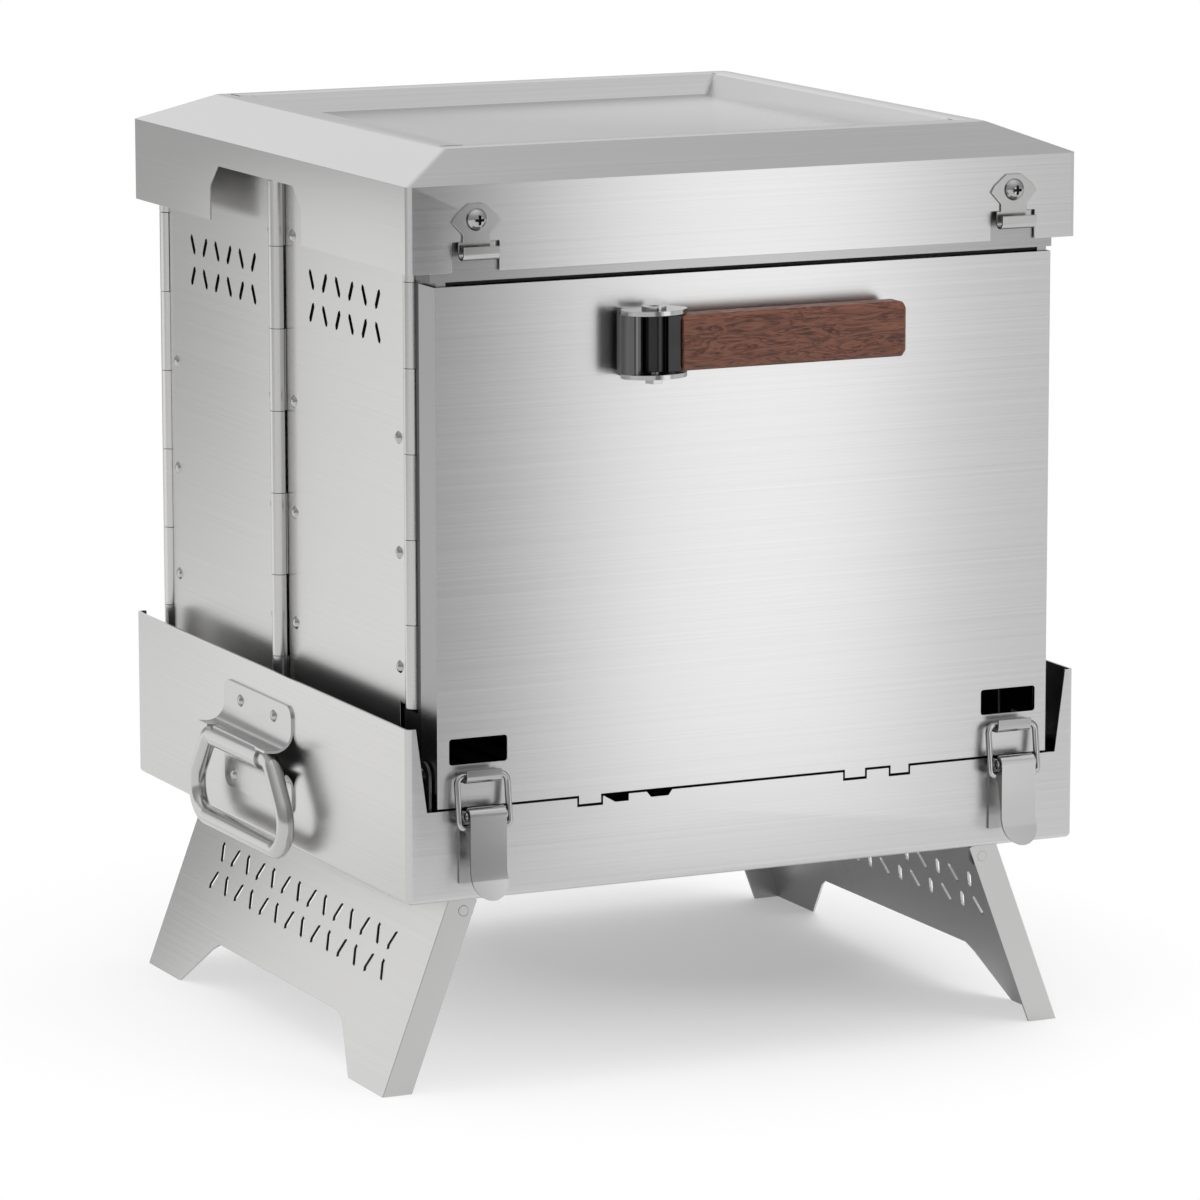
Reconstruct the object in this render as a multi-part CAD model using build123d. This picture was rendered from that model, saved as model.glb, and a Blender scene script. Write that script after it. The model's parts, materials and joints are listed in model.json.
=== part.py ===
from build123d import *
from math import sin, cos, tan, radians
import os

os.makedirs("parts", exist_ok=True)

# Folding charcoal grill, in millimetres. Inside the script z = 0 is the underside of
# the base tray, +X is the right side and +Y the rear. The finished pieces are lifted so
# that the feet stand on z = 0, and shifted so that the origin is under the middle.

# Base tray
base_width = 364.0
base_depth = 356.0
base_height = 86.0
base_sheet = 1.2
base_front_height = 44.8
base_corner_radius = 3.0
ear_top_width = 5.0
ear_bottom_width = 10.5

# Ledges that the walls stand on, along the inside of the base
ledge_sheet = 1.2
ledge_under_wall = 6.3
ledge_lip = 14.0
ledge_front_y = -145.5

# Legs
leg_drop = 99.0
leg_splay = 20.6
leg_sheet = 1.5
leg_flange = 14.6
leg_end_inset = 22.0
leg_top_gap = 0.5
leg_pivot_down = 7.0
leg_pivot_in = 9.5
leg_pin_radius = 2.5
leg_pin_head = 1.5
leg_ear_radius = 6.0
leg_ear_sheet = 1.5
leg_ear_outer = 3.5
leg_top_inset = 32.7
leg_arch_rise = 27.0
leg_arch_top_half = 83.5
leg_arch_foot_half = 110.0
leg_slot_count = 14
leg_slot_pitch = 17.1
leg_slot_first_row = 34.3
leg_slot_row_step = 15.2

# Slanted vent slots, shared by the legs and the side walls
slot_length = 10.2
slot_lean = 5.4
slot_width = 3.3
slot_tip = 1.6

# Side walls, back wall and their hinges
wall_sheet = 1.0
wall_inset = 16.5
wall_foot = 46.0
wall_height = 291.9
front_hinge_back = 31.0
rear_hinge_inset = 7.0
corner_hinge_inset = 1.5
centre_hinge_outset = 2.5
knuckle_radius = 4.5
hinge_pin_radius = 2.2
hinge_pin_head = 1.2
hinge_leaf = 1.0
hinge_leaf_width = 24.0
knuckle_start = 89.5
knuckle_pitch = 41.5
knuckle_gap = 0.3
knuckle_clear = 0.7
hinge_top_drop = 8.0
rivet_radius = 3.2
rivet_height = 1.7
rivet_shank = 1.5
rivet_tail = 0.5
rivet_tail_radius = 2.0
rivet_first = 108.0
rivet_pitch = 56.0
rivet_rows = 3
rivet_top_row = 303.0
rivet_edge = 8.8
vent_count = 6
vent_pitch = 16.5
vent_top_row = 284.0
vent_row_step = 16.3

# Front frame and door
door_overhang = 0.5
door_bottom = 46.0
door_height = 251.5
door_sheet = 1.0
door_flange = 19.0
door_return = 8.0
door_return_half = 150.0
door_tab_depth = 4.2
door_notch_floor = 5.5
door_pivot_back = 12.0
door_pivot_up = 14.0
door_pin_radius = 2.5
door_slot_width = 30.5
door_slot_low = 6.9
door_slot_high = 19.6
pivot_ear_radius = 7.5
pivot_bracket_sheet = 1.4
pivot_bracket_foot = 10.0
frame_gap = 1.0
frame_sheet = 1.0
frame_band_gap = 2.0
frame_band_overhang = 2.0
post_flange = 5.0
post_foot_length = 11.0
post_foot_height = 88.0
post_foot_clear = 19.3
frame_screw_radius = 2.0
frame_screw_head = 3.5
frame_screw_top = 2.2
frame_screw_length = 8.0

# Latches on the base and their catches
latch_inset = 21.5
latch_width = 19.0
latch_sheet = 1.2
latch_plate_foot = 9.0
bar_radius = 1.6
bar_out = 4.0
bar_up = 2.0
bail_half_width = 13.2
bail_corner_radius = 3.8
bail_foot_radius = 2.4
lever_pivot_out = 8.0
lever_pivot_drop = 17.0
lever_roll_radius = 4.2
lever_pin_radius = 1.3
lever_flat = 27.0
lever_curl_out = 6.0
lever_curl_drop = 13.0
bail_pin_in = 0.5
bail_pin_drop = 5.5
latch_ear_radius = 2.4
hook_clearance = 0.9
hook_sheet = 1.2
hook_lip_up = 3.0
hook_plate_drop = 9.0
latch_notch_half = 12.0

# Lid
lid_side_step = 2.0
lid_sheet = 1.0
lid_skirt_bottom = 304.0
lid_skirt_height = 41.6
lid_rise = 13.9
lid_slope_width = 33.0
lid_rim_width = 14.0
lid_tray_inset = 9.5
lid_tray_depth = 9.5
lid_corner_radius = 3.0
lid_notch_half = 60.0
lid_notch_height = 28.3
lid_notch_chamfer = 10.5
catch_notch_half = 12.3
catch_notch_height = 14.5
catch_tip_half = 12.7
catch_waist_half = 7.2
catch_screw_z = 329.0
catch_top = 336.7
catch_bottom = 310.0
screw_head_radius = 5.5
screw_head_height = 4.0

# Cooking grate
grate_cross_radius = 3.0
grate_bar_radius = 2.5
grate_weld = 0.5
grate_side_gap = 9.0
grate_end_gap = 15.0
grate_bar_overhang = 4.0
grate_bar_margin = 8.0
grate_bar_pitch = 14.0
grate_cross_count = 5

# Charcoal tray and fire grate
tray_wall_gap = 16.5
tray_front_gap = 40.0
tray_back_gap = 28.0
tray_foot_inset = 25.0
tray_height = 32.0
tray_sheet = 1.0
tray_foot_radius = 8.0
tray_foot_height = 6.5
fire_grate_height = 9.0
fire_grate_sheet = 1.5
fire_grate_margin = 12.0
fire_slot_end = 20.0
fire_slot_middle = 10.0
fire_slot_width = 6.0
fire_slot_pitch = 18.0

# Door handle
handle_x = -57.1
handle_z = 266.5
handle_height = 27.0
handle_post_radius = 5.6
handle_post_left = 12.0
handle_knuckle_radius = 6.0
handle_out = 12.5
handle_ear_sheet = 2.2
handle_ear_half = 16.8
handle_ear_reach = 24.0
handle_plate_sheet = 1.5
handle_pin_radius = 3.0
handle_pin_head = 6.0
handle_arm_start = 4.0
handle_arm_front = 7.6
handle_block_reach = 11.1
handle_plate_half = 13.0
grip_length = 121.0
grip_forward = 9.5
handle_rivet_spread = 8.5
grip_depth = 16.0
grip_chamfer = 2.5

# Carry handles on the side walls of the base
carry_rod_radius = 4.5
carry_y = 8.0
carry_pivot_out = 10.6
carry_pivot_z = 45.0
carry_drop = 44.0
carry_top_half = 41.0
carry_bottom_half = 74.0
carry_bend_radius = 9.0
carry_grip_radius = 15.0
carry_roll_half = 32.0
carry_plate_half = 44.5
carry_plate_top = 72.0
carry_plate_bottom = 17.0
carry_plate_corner = 6.0
carry_sheet = 1.2
carry_wing = 5.0
carry_wing_lift = 0.6
carry_rivet_spread = 22.0
carry_rivet_low_spread = 32.0

# Shared clearances
seat_gap = 0.3
pin_gap = 0.05
handle_gap = 0.7
side_gap = 0.3
round_gap = 0.1

# Places worked out from the sizes
half_width = base_width / 2
half_depth = base_depth / 2
front_face = -half_depth
wall_outer = half_width - wall_inset
wall_inner = wall_outer - wall_sheet
post_outer = wall_inner
door_half_width = wall_outer + door_overhang
frame_band_half = wall_outer + frame_band_overhang
latch_x = door_half_width - latch_inset
leg_half_length = half_depth - leg_end_inset
ledge_reach = wall_inset - base_sheet + ledge_under_wall
lid_width = base_width - 2 * lid_side_step
lid_depth = base_depth
lid_rim_half = lid_width / 2 - lid_slope_width
grate_half_width = lid_width / 2 - grate_side_gap
grate_half_depth = lid_depth / 2 - grate_end_gap
tray_half_width = wall_inner - tray_wall_gap
tray_front = front_face + tray_front_gap
tray_back = half_depth - tray_back_gap
hook_inner_radius = bar_radius + hook_clearance
wall_top = wall_foot + wall_height
ledge_top = wall_foot - seat_gap
leaf_inner = wall_inner - hinge_leaf
corner_hinge_x = wall_outer - corner_hinge_inset
centre_hinge_x = wall_outer + centre_hinge_outset
front_hinge_y = front_face + front_hinge_back
rear_hinge_y = half_depth - rear_hinge_inset
centre_hinge_y = (front_hinge_y + rear_hinge_y) / 2
hinge_top = wall_top - hinge_top_drop
leaf_start = knuckle_radius + knuckle_clear
back_outer_y = rear_hinge_y + knuckle_radius
door_top = door_bottom + door_height
door_pivot_y = front_face + door_pivot_back
door_pivot_z = door_bottom + door_pivot_up
frame_face = front_face + door_sheet + frame_gap
bar_y = front_face - bar_out
bar_z = door_pivot_z + bar_up
lever_y = front_face - lever_pivot_out
lever_z = door_pivot_z - lever_pivot_drop
bail_pin_y = lever_y + bail_pin_in
bail_pin_z = lever_z - bail_pin_drop
lid_skirt_top = lid_skirt_bottom + lid_skirt_height
lid_top = lid_skirt_top + lid_rise
grate_low = wall_top + seat_gap
grate_bar_z = grate_low + 2 * grate_cross_radius + grate_bar_radius - grate_weld
carry_x = half_width + carry_pivot_out
handle_y = front_face - handle_out
grip_start = handle_x + handle_block_reach
leg_down = Vector(-sin(radians(leg_splay)), 0, -cos(radians(leg_splay)))
leg_in = Vector(cos(radians(leg_splay)), 0, -sin(radians(leg_splay)))
leg_top = Vector(leg_top_inset - half_width, 0, -leg_top_gap)
leg_length = (leg_drop - leg_top_gap) / cos(radians(leg_splay))
leg_pivot = leg_top + leg_down * leg_pivot_down + leg_in * leg_pivot_in
edge_rivets = [rivet_first + rivet_pitch * row for row in range(rivet_rows)]
centre_rivets = edge_rivets + [rivet_top_row]

parts = {}


# Small shapes that several pieces share

def block(x0, x1, y0, y1, z0, z1):
    centre = Pos((x0 + x1) / 2, (y0 + y1) / 2, (z0 + z1) / 2)
    return centre * Box(abs(x1 - x0), abs(y1 - y0), abs(z1 - z0))


def plate_x(points, x0, x1):
    # An outline of (y, z) points, given thickness from x0 to x1
    plane = Plane((x0, 0, 0), x_dir=(0, 1, 0), z_dir=(1, 0, 0))
    return extrude(plane * Polygon(*points, align=None), amount=x1 - x0, dir=(1, 0, 0))


def plate_y(points, y0, y1):
    # An outline of (x, z) points, given thickness from y0 to y1
    plane = Plane((0, y0, 0), x_dir=(1, 0, 0), z_dir=(0, -1, 0))
    return extrude(plane * Polygon(*points, align=None), amount=y1 - y0, dir=(0, 1, 0))


def rod(start, direction, radius, length):
    return extrude(Plane(start, z_dir=direction) * Circle(radius), amount=length)


def tube(start, direction, outer, inner, length):
    return extrude(Plane(start, z_dir=direction) * (Circle(outer) - Circle(inner)), amount=length)


def wire_rod(points, radii, radius):
    # Round wire along straight runs joined by arcs
    path = FilletPolyline(*points, radius=radii)
    return sweep(Plane(origin=path @ 0, z_dir=path % 0) * Circle(radius), path=path)


def mirrored(shape):
    return mirror(shape, about=Plane.YZ)


def frustum(low_size, low_z, high_size, high_z, radius):
    low = Pos(0, 0, low_z) * RectangleRounded(low_size[0], low_size[1], radius)
    high = Pos(0, 0, high_z) * RectangleRounded(high_size[0], high_size[1], radius)
    return loft([low, high])


def fuse(shapes):
    total = shapes[0]
    for shape in shapes[1:]:
        total += shape
    return total


def dome(start, direction, radius, height):
    # Domed head with its flat side on the start point
    ball = (radius * radius + height * height) / (2 * height)
    plane = Plane(start, z_dir=direction)
    sphere = plane * Pos(0, 0, height - ball) * Sphere(ball)
    return sphere & (plane * Pos(0, 0, height) * Box(4 * radius, 4 * radius, 2 * height))


def rivet(start, direction, grip):
    # Domed head outside, shank through the sheets and a thin upset end inside
    plane = Plane(start, z_dir=direction)
    shank = plane * Pos(0, 0, -grip / 2) * Cylinder(rivet_shank, grip)
    tail = plane * Pos(0, 0, -grip - rivet_tail / 2) * Cylinder(rivet_tail_radius, rivet_tail)
    return dome(start, direction, rivet_radius, rivet_height) + shank + tail


def rivet_hole(start, direction, grip):
    plane = Plane(start, z_dir=direction)
    return plane * Cylinder(rivet_shank + pin_gap, 4 * grip)


def slot_cutters(count, pitch, rows, middle, x0, x1):
    # Leaning slots in the (y, z) plane. The lean alternates along a row and between rows.
    cutters = []
    for row, height in enumerate(rows):
        for index in range(count):
            y = middle + ((count - 1) / 2 - index) * pitch
            lean = slot_lean / 2 if (index + row) % 2 == 0 else -slot_lean / 2
            top = Vector(0, y + lean, height + slot_length / 2)
            low = Vector(0, y - lean, height - slot_length / 2)
            along = (top - low).normalized()
            across = Vector(0, along.Z, -along.Y) * (slot_width / 2)
            upper = top - along * slot_tip
            lower = low + along * slot_tip
            corners = [top, upper - across, lower - across, low, lower + across, upper + across]
            cutters.append(plate_x([(c.Y, c.Z) for c in corners], x0, x1))
    return cutters


def knuckle_spans(low, high, first):
    # Height spans of every second knuckle between low and high
    edges = [low]
    seam = knuckle_start
    while seam < high - knuckle_pitch / 4:
        if seam > low + knuckle_pitch / 4:
            edges.append(seam)
        seam += knuckle_pitch
    edges.append(high)
    spans = list(zip(edges[:-1], edges[1:]))[first::2]
    return [(a + knuckle_gap / 2, b - knuckle_gap / 2) for a, b in spans]


def knuckle(x, y, span):
    inner = hinge_pin_radius + pin_gap
    return tube((x, y, span[0]), (0, 0, 1), knuckle_radius, inner, span[1] - span[0])


def hinge_pin(x, y, low, high):
    pin = rod((x, y, low), (0, 0, 1), hinge_pin_radius, high - low)
    head = rod((x, y, high + seat_gap), (0, 0, 1), hinge_pin_radius + 1.2, hinge_pin_head)
    neck = rod((x, y, high), (0, 0, 1), hinge_pin_radius, seat_gap)
    return pin + neck + head


# Base tray and what is fixed to it

def front_wall_notches():
    # Cut-outs in the top edge of the front wall, for the tabs of the door
    floor = door_bottom - door_notch_floor
    top = base_front_height + 1
    near = front_face - 1
    far = front_face + base_sheet + 1
    cuts = [block(a, b, near, far, floor, top) for a, b in ((-92.2, -78.4), (52.4, 65.6), (77.8, 89.8))]
    sloped = [(-77.8, top), (-77.8, base_front_height), (-71.8, floor + 0.8), (-64.6, floor + 0.8), (-64.6, top)]
    tapered = [(-55.2, top), (-54.9, base_front_height), (-52.6, floor + 1.5), (-43.2, floor + 1.5),
               (-41.2, base_front_height), (-41.2, top)]
    return cuts + [plate_y(sloped, near, far), plate_y(tapered, near, far)]


def base_tray():
    outer = extrude(RectangleRounded(base_width, base_depth, base_corner_radius), amount=base_height)
    outer = fillet(outer.faces().sort_by(Axis.Z)[0].edges(), base_corner_radius - 0.5)
    hollow = RectangleRounded(base_width - 2 * base_sheet, base_depth - 2 * base_sheet,
                              base_corner_radius - base_sheet)
    tray = outer - Pos(0, 0, base_sheet) * extrude(hollow, amount=base_height)
    top = half_width - ear_top_width
    low = half_width - ear_bottom_width
    above = base_height + 1
    opening = [(-top, above), (-top, base_height), (-low, base_front_height),
               (low, base_front_height), (top, base_height), (top, above)]
    reach = base_corner_radius + base_sheet
    tray -= plate_y(opening, front_face - 1, front_face + reach)
    tray -= plate_y(opening, half_depth - reach, half_depth + 1)
    for cut in front_wall_notches():
        tray -= cut
    hook_sweep = door_pivot_z - 18.4
    for x in (-latch_x, latch_x):
        tray -= block(x - latch_notch_half, x + latch_notch_half, front_face - 1,
                      front_face + base_sheet + 1, hook_sweep, above)
    for start, direction in latch_rivet_places() + carry_rivet_places():
        tray -= rivet_hole(start, direction, 2 * base_sheet)
    return tray


def ledge_screw_place():
    return (post_outer + 6.0, door_pivot_y + post_foot_clear + post_foot_length / 2)


def wall_ledges():
    # Angle strips along both sides and the back
    outer = half_width - base_sheet
    inner = outer - ledge_reach
    low = ledge_top - ledge_sheet
    back = half_depth - base_sheet
    side_back = half_depth - base_corner_radius
    shelf = block(-outer, -inner, ledge_front_y, side_back, low, ledge_top)
    lip = block(-outer, -outer + ledge_sheet, ledge_front_y, side_back, low - ledge_lip, low)
    screw_x, screw_y = ledge_screw_place()
    hole = rod((-screw_x, screw_y, low - 1), (0, 0, 1), frame_screw_radius + pin_gap, ledge_sheet + 2)
    left = shelf + lip - hole
    rear = block(-inner + side_gap, inner - side_gap, back - ledge_reach / 2, back, low, ledge_top)
    rear += block(-inner + side_gap, inner - side_gap, back - ledge_sheet, back, low - ledge_lip, low)
    return Compound([left.solid(), mirrored(left).solid(), rear.solid()])


def pivot_brackets():
    # Upright plates beside the door that carry its two pivot pins
    inner = door_half_width + frame_gap
    outer = inner + pivot_bracket_sheet
    y, z, r = door_pivot_y, door_pivot_z, pivot_ear_radius
    plate = block(-outer, -inner, y - r, y + r, base_sheet, z)
    plate += rod((-outer, y, z), (1, 0, 0), r, pivot_bracket_sheet)
    plate += block(-outer - pivot_bracket_foot, -inner, y - r, y + r, base_sheet, 2 * base_sheet)
    plate -= rod((-outer - 1, y, z), (1, 0, 0), door_pin_radius + pin_gap, pivot_bracket_sheet + 2)
    return Compound([plate.solid(), mirrored(plate).solid()])


def charcoal_tray():
    low = base_sheet + seat_gap + tray_foot_height
    high = low + tray_height
    w = tray_half_width
    s = tray_sheet
    tray = block(-w, w, tray_front, tray_back, low, high)
    tray -= block(-w + s, w - s, tray_front + s, tray_back - s, low + s, high + 1)
    for x in (-w + tray_foot_inset, w - tray_foot_inset):
        for y in (tray_front + tray_foot_inset, tray_back - tray_foot_inset):
            tray += rod((x, y, base_sheet + seat_gap), (0, 0, 1), tray_foot_radius, tray_foot_height + s)
    return tray


def fire_grate():
    floor = base_sheet + seat_gap + tray_foot_height + tray_sheet + seat_gap
    w = tray_half_width - fire_grate_margin
    y0 = tray_front + fire_grate_margin
    y1 = tray_back - fire_grate_margin
    top = floor + fire_grate_height
    plate = block(-w, w, y0, y1, top - fire_grate_sheet, top)
    for side in (-1, 1):
        plate += block(side * w, side * (w - fire_grate_sheet), y0, y1, floor, top)
    count = int((w - fire_slot_pitch) / fire_slot_pitch)
    for index in range(-count, count + 1):
        x = index * fire_slot_pitch
        for a, b in ((y0 + fire_slot_end, -fire_slot_middle), (fire_slot_middle, y1 - fire_slot_end)):
            plate -= block(x - fire_slot_width / 2, x + fire_slot_width / 2, a, b, top - 5, top + 1)
    return plate


# Legs, modelled on the left in their standing place and mirrored

def left_leg():
    # The sheet lies in a plane whose own height runs up the leg from its top edge
    plane = Plane(origin=tuple(leg_top), x_dir=(0, 1, 0), z_dir=tuple(leg_in))
    arch_top = -(leg_length - leg_arch_rise)
    foot = -leg_length - leg_sheet
    right = [(leg_half_length, 0), (leg_half_length, foot), (leg_arch_foot_half + 3, foot),
             (leg_arch_foot_half + 3, -leg_length), (leg_arch_foot_half, -leg_length + 2.5),
             (leg_arch_top_half + 3, arch_top - 4), (leg_arch_top_half - 4, arch_top)]
    outline = right + [(-y, up) for y, up in reversed(right)]
    leg = extrude(plane * Polygon(*outline, align=None), amount=leg_sheet, dir=tuple(leg_in))
    for y in (-leg_half_length, leg_half_length - leg_sheet):
        leg += extrude(leg_flange_face(y), amount=leg_sheet, dir=(0, 1, 0))
    rows = [-leg_slot_first_row, -leg_slot_first_row - leg_slot_row_step]
    flat = slot_cutters(leg_slot_count, leg_slot_pitch, rows, 0, -1, leg_sheet + 1)
    turn = Location(leg_top) * Rotation(0, leg_splay, 0)
    leg -= [turn * cutter for cutter in flat]
    for y in (-leg_half_length - 1, leg_half_length - leg_sheet - 1):
        leg -= rod((leg_pivot.X, y, leg_pivot.Z), (0, 1, 0), leg_pin_radius + pin_gap, leg_sheet + 2)
    ground = block(-base_width, 0, -base_depth, base_depth, -leg_drop - 2 * leg_sheet, -leg_drop)
    return leg - ground


def leg_flange_face(y):
    # Side flange of the leg, cut level with the ground at its foot
    start = Vector(leg_top.X, 0, leg_top.Z)
    foot = start + leg_down * leg_length
    inner_top = start + leg_in * leg_flange
    inner_foot = foot + Vector(leg_flange / cos(radians(leg_splay)), 0, 0)
    points = [(p.X, p.Z) for p in (start, inner_top, inner_foot, foot)]
    plane = Plane((0, y, 0), x_dir=(1, 0, 0), z_dir=(0, -1, 0))
    return plane * Polygon(*points, align=None)


def leg_ears():
    # Four ears under the floor of the base, each with a foot against the floor
    ears = []
    x, z, r = leg_pivot.X, leg_pivot.Z, leg_ear_radius
    inner = leg_half_length - leg_sheet - side_gap
    for side in (-1, 1):
        for along in (-1, 1):
            far = along * inner
            near = along * (inner - leg_ear_sheet)
            cx = x if side < 0 else -x
            outer = cx + side * leg_ear_outer
            ear = block(outer, cx - side * r, near, far, z, 0)
            ear += rod((cx, min(near, far), z), (0, 1, 0), r, leg_ear_sheet)
            ear += block(outer, cx - side * r, along * (inner - 14), far, -leg_ear_sheet, 0)
            ear -= rod((cx, min(near, far) - 1, z), (0, 1, 0), leg_pin_radius + pin_gap, leg_ear_sheet + 2)
            ears.append(ear.solid())
    return Compound(ears)


def leg_pins():
    pins = []
    for cx in (leg_pivot.X, -leg_pivot.X):
        for along in (-1, 1):
            length = leg_sheet + side_gap + leg_ear_sheet + leg_pin_head
            pin = rod((cx, along * leg_half_length, leg_pivot.Z), (0, -along, 0), leg_pin_radius, length)
            inside = (cx, along * (leg_half_length - length + leg_pin_head), leg_pivot.Z)
            pin += rod(inside, (0, -along, 0), leg_pin_radius + leg_pin_head, leg_pin_head)
            pins.append(pin.solid())
    return Compound(pins)


# Toggle latches, modelled about x = 0 and moved into place

def latch_plate():
    # Plate on the front wall with an ear each side of the lever
    out = latch_width / 2 + side_gap
    low = latch_plate_foot
    y0 = front_face - latch_sheet
    plate = block(-out - 1, out + 1, y0, front_face, low, lever_z - 1.0)
    for side in (-1, 1):
        x0 = min(side * out, side * (out + 1))
        ear = block(x0, x0 + 1, lever_y, y0 + 0.1, lever_z - latch_ear_radius, lever_z + latch_ear_radius)
        ear += rod((x0, lever_y, lever_z), (1, 0, 0), latch_ear_radius, 1)
        plate += ear
    plate -= rod((-2 * out, lever_y, lever_z), (1, 0, 0), lever_pin_radius + pin_gap, 4 * out)
    for z in (low + 6, low + 18):
        plate -= rivet_hole((0, y0, z), (0, -1, 0), latch_sheet)
    return plate


def latch_rivet_places():
    return [((x, front_face - latch_sheet, latch_plate_foot + up), (0, -1, 0))
            for x in (-latch_x, latch_x) for up in (6, 18)]


def base_rivets():
    # The rivets of the latch plates and of both carry brackets, through the base wall
    return Compound([rivet(start, direction, latch_sheet + base_sheet).solid()
                     for start, direction in latch_rivet_places() + carry_rivet_places()])


def latch_pin():
    reach = latch_width / 2 + side_gap + 1 + 0.4
    return rod((-reach, lever_y, lever_z), (1, 0, 0), lever_pin_radius, 2 * reach)


def latch_lever():
    # Flat lever with a roll round its pivot, side cheeks and a curled finger end
    half = latch_width / 2
    r = lever_roll_radius
    s = latch_sheet
    roll = tube((-half, lever_y, lever_z), (1, 0, 0), r, r - s, latch_width)
    keep = plate_x([(lever_y, lever_z), (lever_y - 2 * r, lever_z), (lever_y - 2 * r, lever_z + 2 * r),
                    (lever_y + r / 2, lever_z + 2 * r)], -half, half)
    lever = roll & keep
    face = lever_y - r
    low = lever_z - lever_flat
    lever += block(-half, half, face, face + s, low, lever_z)
    finger = [(face, low), (face + s, low), (face + s - 1.5, low - 4), (face - lever_curl_out + s, low - lever_curl_drop),
              (face - lever_curl_out, low - lever_curl_drop), (face - 1.5, low - 4)]
    tongue = plate_x(finger, -half, half)
    end = low - lever_curl_drop + half
    rounded = block(-half, half, face - lever_flat, face + lever_flat, end, low + 1)
    rounded += rod((0, face - lever_flat, end), (0, 1, 0), half, 2 * lever_flat)
    lever += tongue & rounded
    cheek = [(face, low + 6), (face + s, low + 4), (face + 4.2, lever_z - 10), (bail_pin_y + 2.6, bail_pin_z - 1.6),
             (bail_pin_y + 2.6, bail_pin_z + 1.6), (lever_y + 2.6, lever_z - 1.5), (lever_y + 2.2, lever_z + 2.2),
             (lever_y - 1, lever_z + 3.1), (face + s, lever_z + 1), (face, lever_z)]
    for x0 in (-half, half - s):
        lever += plate_x(cheek, x0, x0 + s)
    lever -= rod((-half - 1, lever_y, lever_z), (1, 0, 0), lever_pin_radius + pin_gap, latch_width + 2)
    lever -= rod((-half - 1, bail_pin_y, bail_pin_z), (1, 0, 0), bar_radius + pin_gap, latch_width + 2)
    return lever


def latch_bail():
    # Bent wire from one pin, up over the catch and down to the other pin
    end = latch_width / 2 - latch_sheet - 0.3
    w = bail_half_width
    low_left = (-w, bail_pin_y, bail_pin_z)
    low_right = (w, bail_pin_y, bail_pin_z)
    points = [(-end, bail_pin_y, bail_pin_z), low_left, (-w, bar_y, bar_z), (w, bar_y, bar_z), low_right,
              (end, bail_pin_y, bail_pin_z)]
    radii = [bail_foot_radius, bail_corner_radius, bail_corner_radius, bail_foot_radius]
    return wire_rod(points, radii, bar_radius)


def door_hook():
    # Strip riveted inside the door, out through a slit below the bar and up in front of it
    half = latch_width / 2 - 0.3
    s = hook_sheet
    seat = bar_z - hook_inner_radius
    inside = front_face + door_sheet
    strip = block(-half, half, bar_y, inside + s, seat - s, seat)
    strip += block(-half, half, inside, inside + s, seat - hook_plate_drop, seat)
    return strip + hook_roll(bar_y, bar_z, half)


def hook_roll(y, z, half):
    # Strip rolled round the bail's bar from below, up in front of it
    r = hook_inner_radius
    outer = r + hook_sheet
    roll = tube((-half, y, z), (1, 0, 0), outer, r, 2 * half)
    roll &= block(-half, half, y - outer, y, z - outer, z)
    return roll + block(-half, half, y - outer, y - r, z, z + hook_lip_up)


def lid_catch():
    # Shield-shaped plate on the skirt whose strip drops through a notch into an open hook
    s = hook_sheet
    y1 = -lid_depth / 2
    y0 = y1 - s
    tip, waist = catch_tip_half, catch_waist_half
    shield = [(-tip, catch_screw_z - 1), (-tip + 2, catch_screw_z + 2.2), (-4, catch_top), (4, catch_top),
              (tip - 2, catch_screw_z + 2.2), (tip, catch_screw_z - 1), (waist, catch_screw_z - 7),
              (waist, catch_screw_z - 12), (-waist, catch_screw_z - 12), (-waist, catch_screw_z - 7)]
    plate = plate_y(shield, y0, y1)
    plate -= rod((0, y0 - 1, catch_screw_z), (0, 1, 0), 2 + pin_gap, s + 2)
    half = latch_width / 2
    centre = catch_bottom + s + hook_inner_radius
    plate += block(-half, half, y0, y1, centre, catch_screw_z - 10.5)
    under = tube((-half, y0 - hook_inner_radius, centre), (1, 0, 0), hook_inner_radius + s,
                 hook_inner_radius, 2 * half)
    plate += under & block(-half, half, y0 - hook_inner_radius, y1, catch_bottom, centre)
    return plate + hook_roll(y0 - hook_inner_radius, centre, half)


def catch_screw():
    # Domed screw with a cross recess, through the catch and the skirt
    y0 = -lid_depth / 2 - hook_sheet
    screw = dome((0, y0, catch_screw_z), (0, -1, 0), screw_head_radius, screw_head_height)
    screw += rod((0, y0, catch_screw_z), (0, 1, 0), 2, hook_sheet + lid_sheet + 0.5)
    for wide, high in ((4.6, 1.3), (1.3, 4.6)):
        screw -= Pos(0, y0 - screw_head_height, catch_screw_z) * Box(wide, 4.0, high)
    return screw


def pair_of(shape):
    return Compound([(Pos(-latch_x, 0, 0) * shape).solid(), (Pos(latch_x, 0, 0) * shape).solid()])


# Front frame, fixed to the base, with the fixed knuckles of both front hinges

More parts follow.
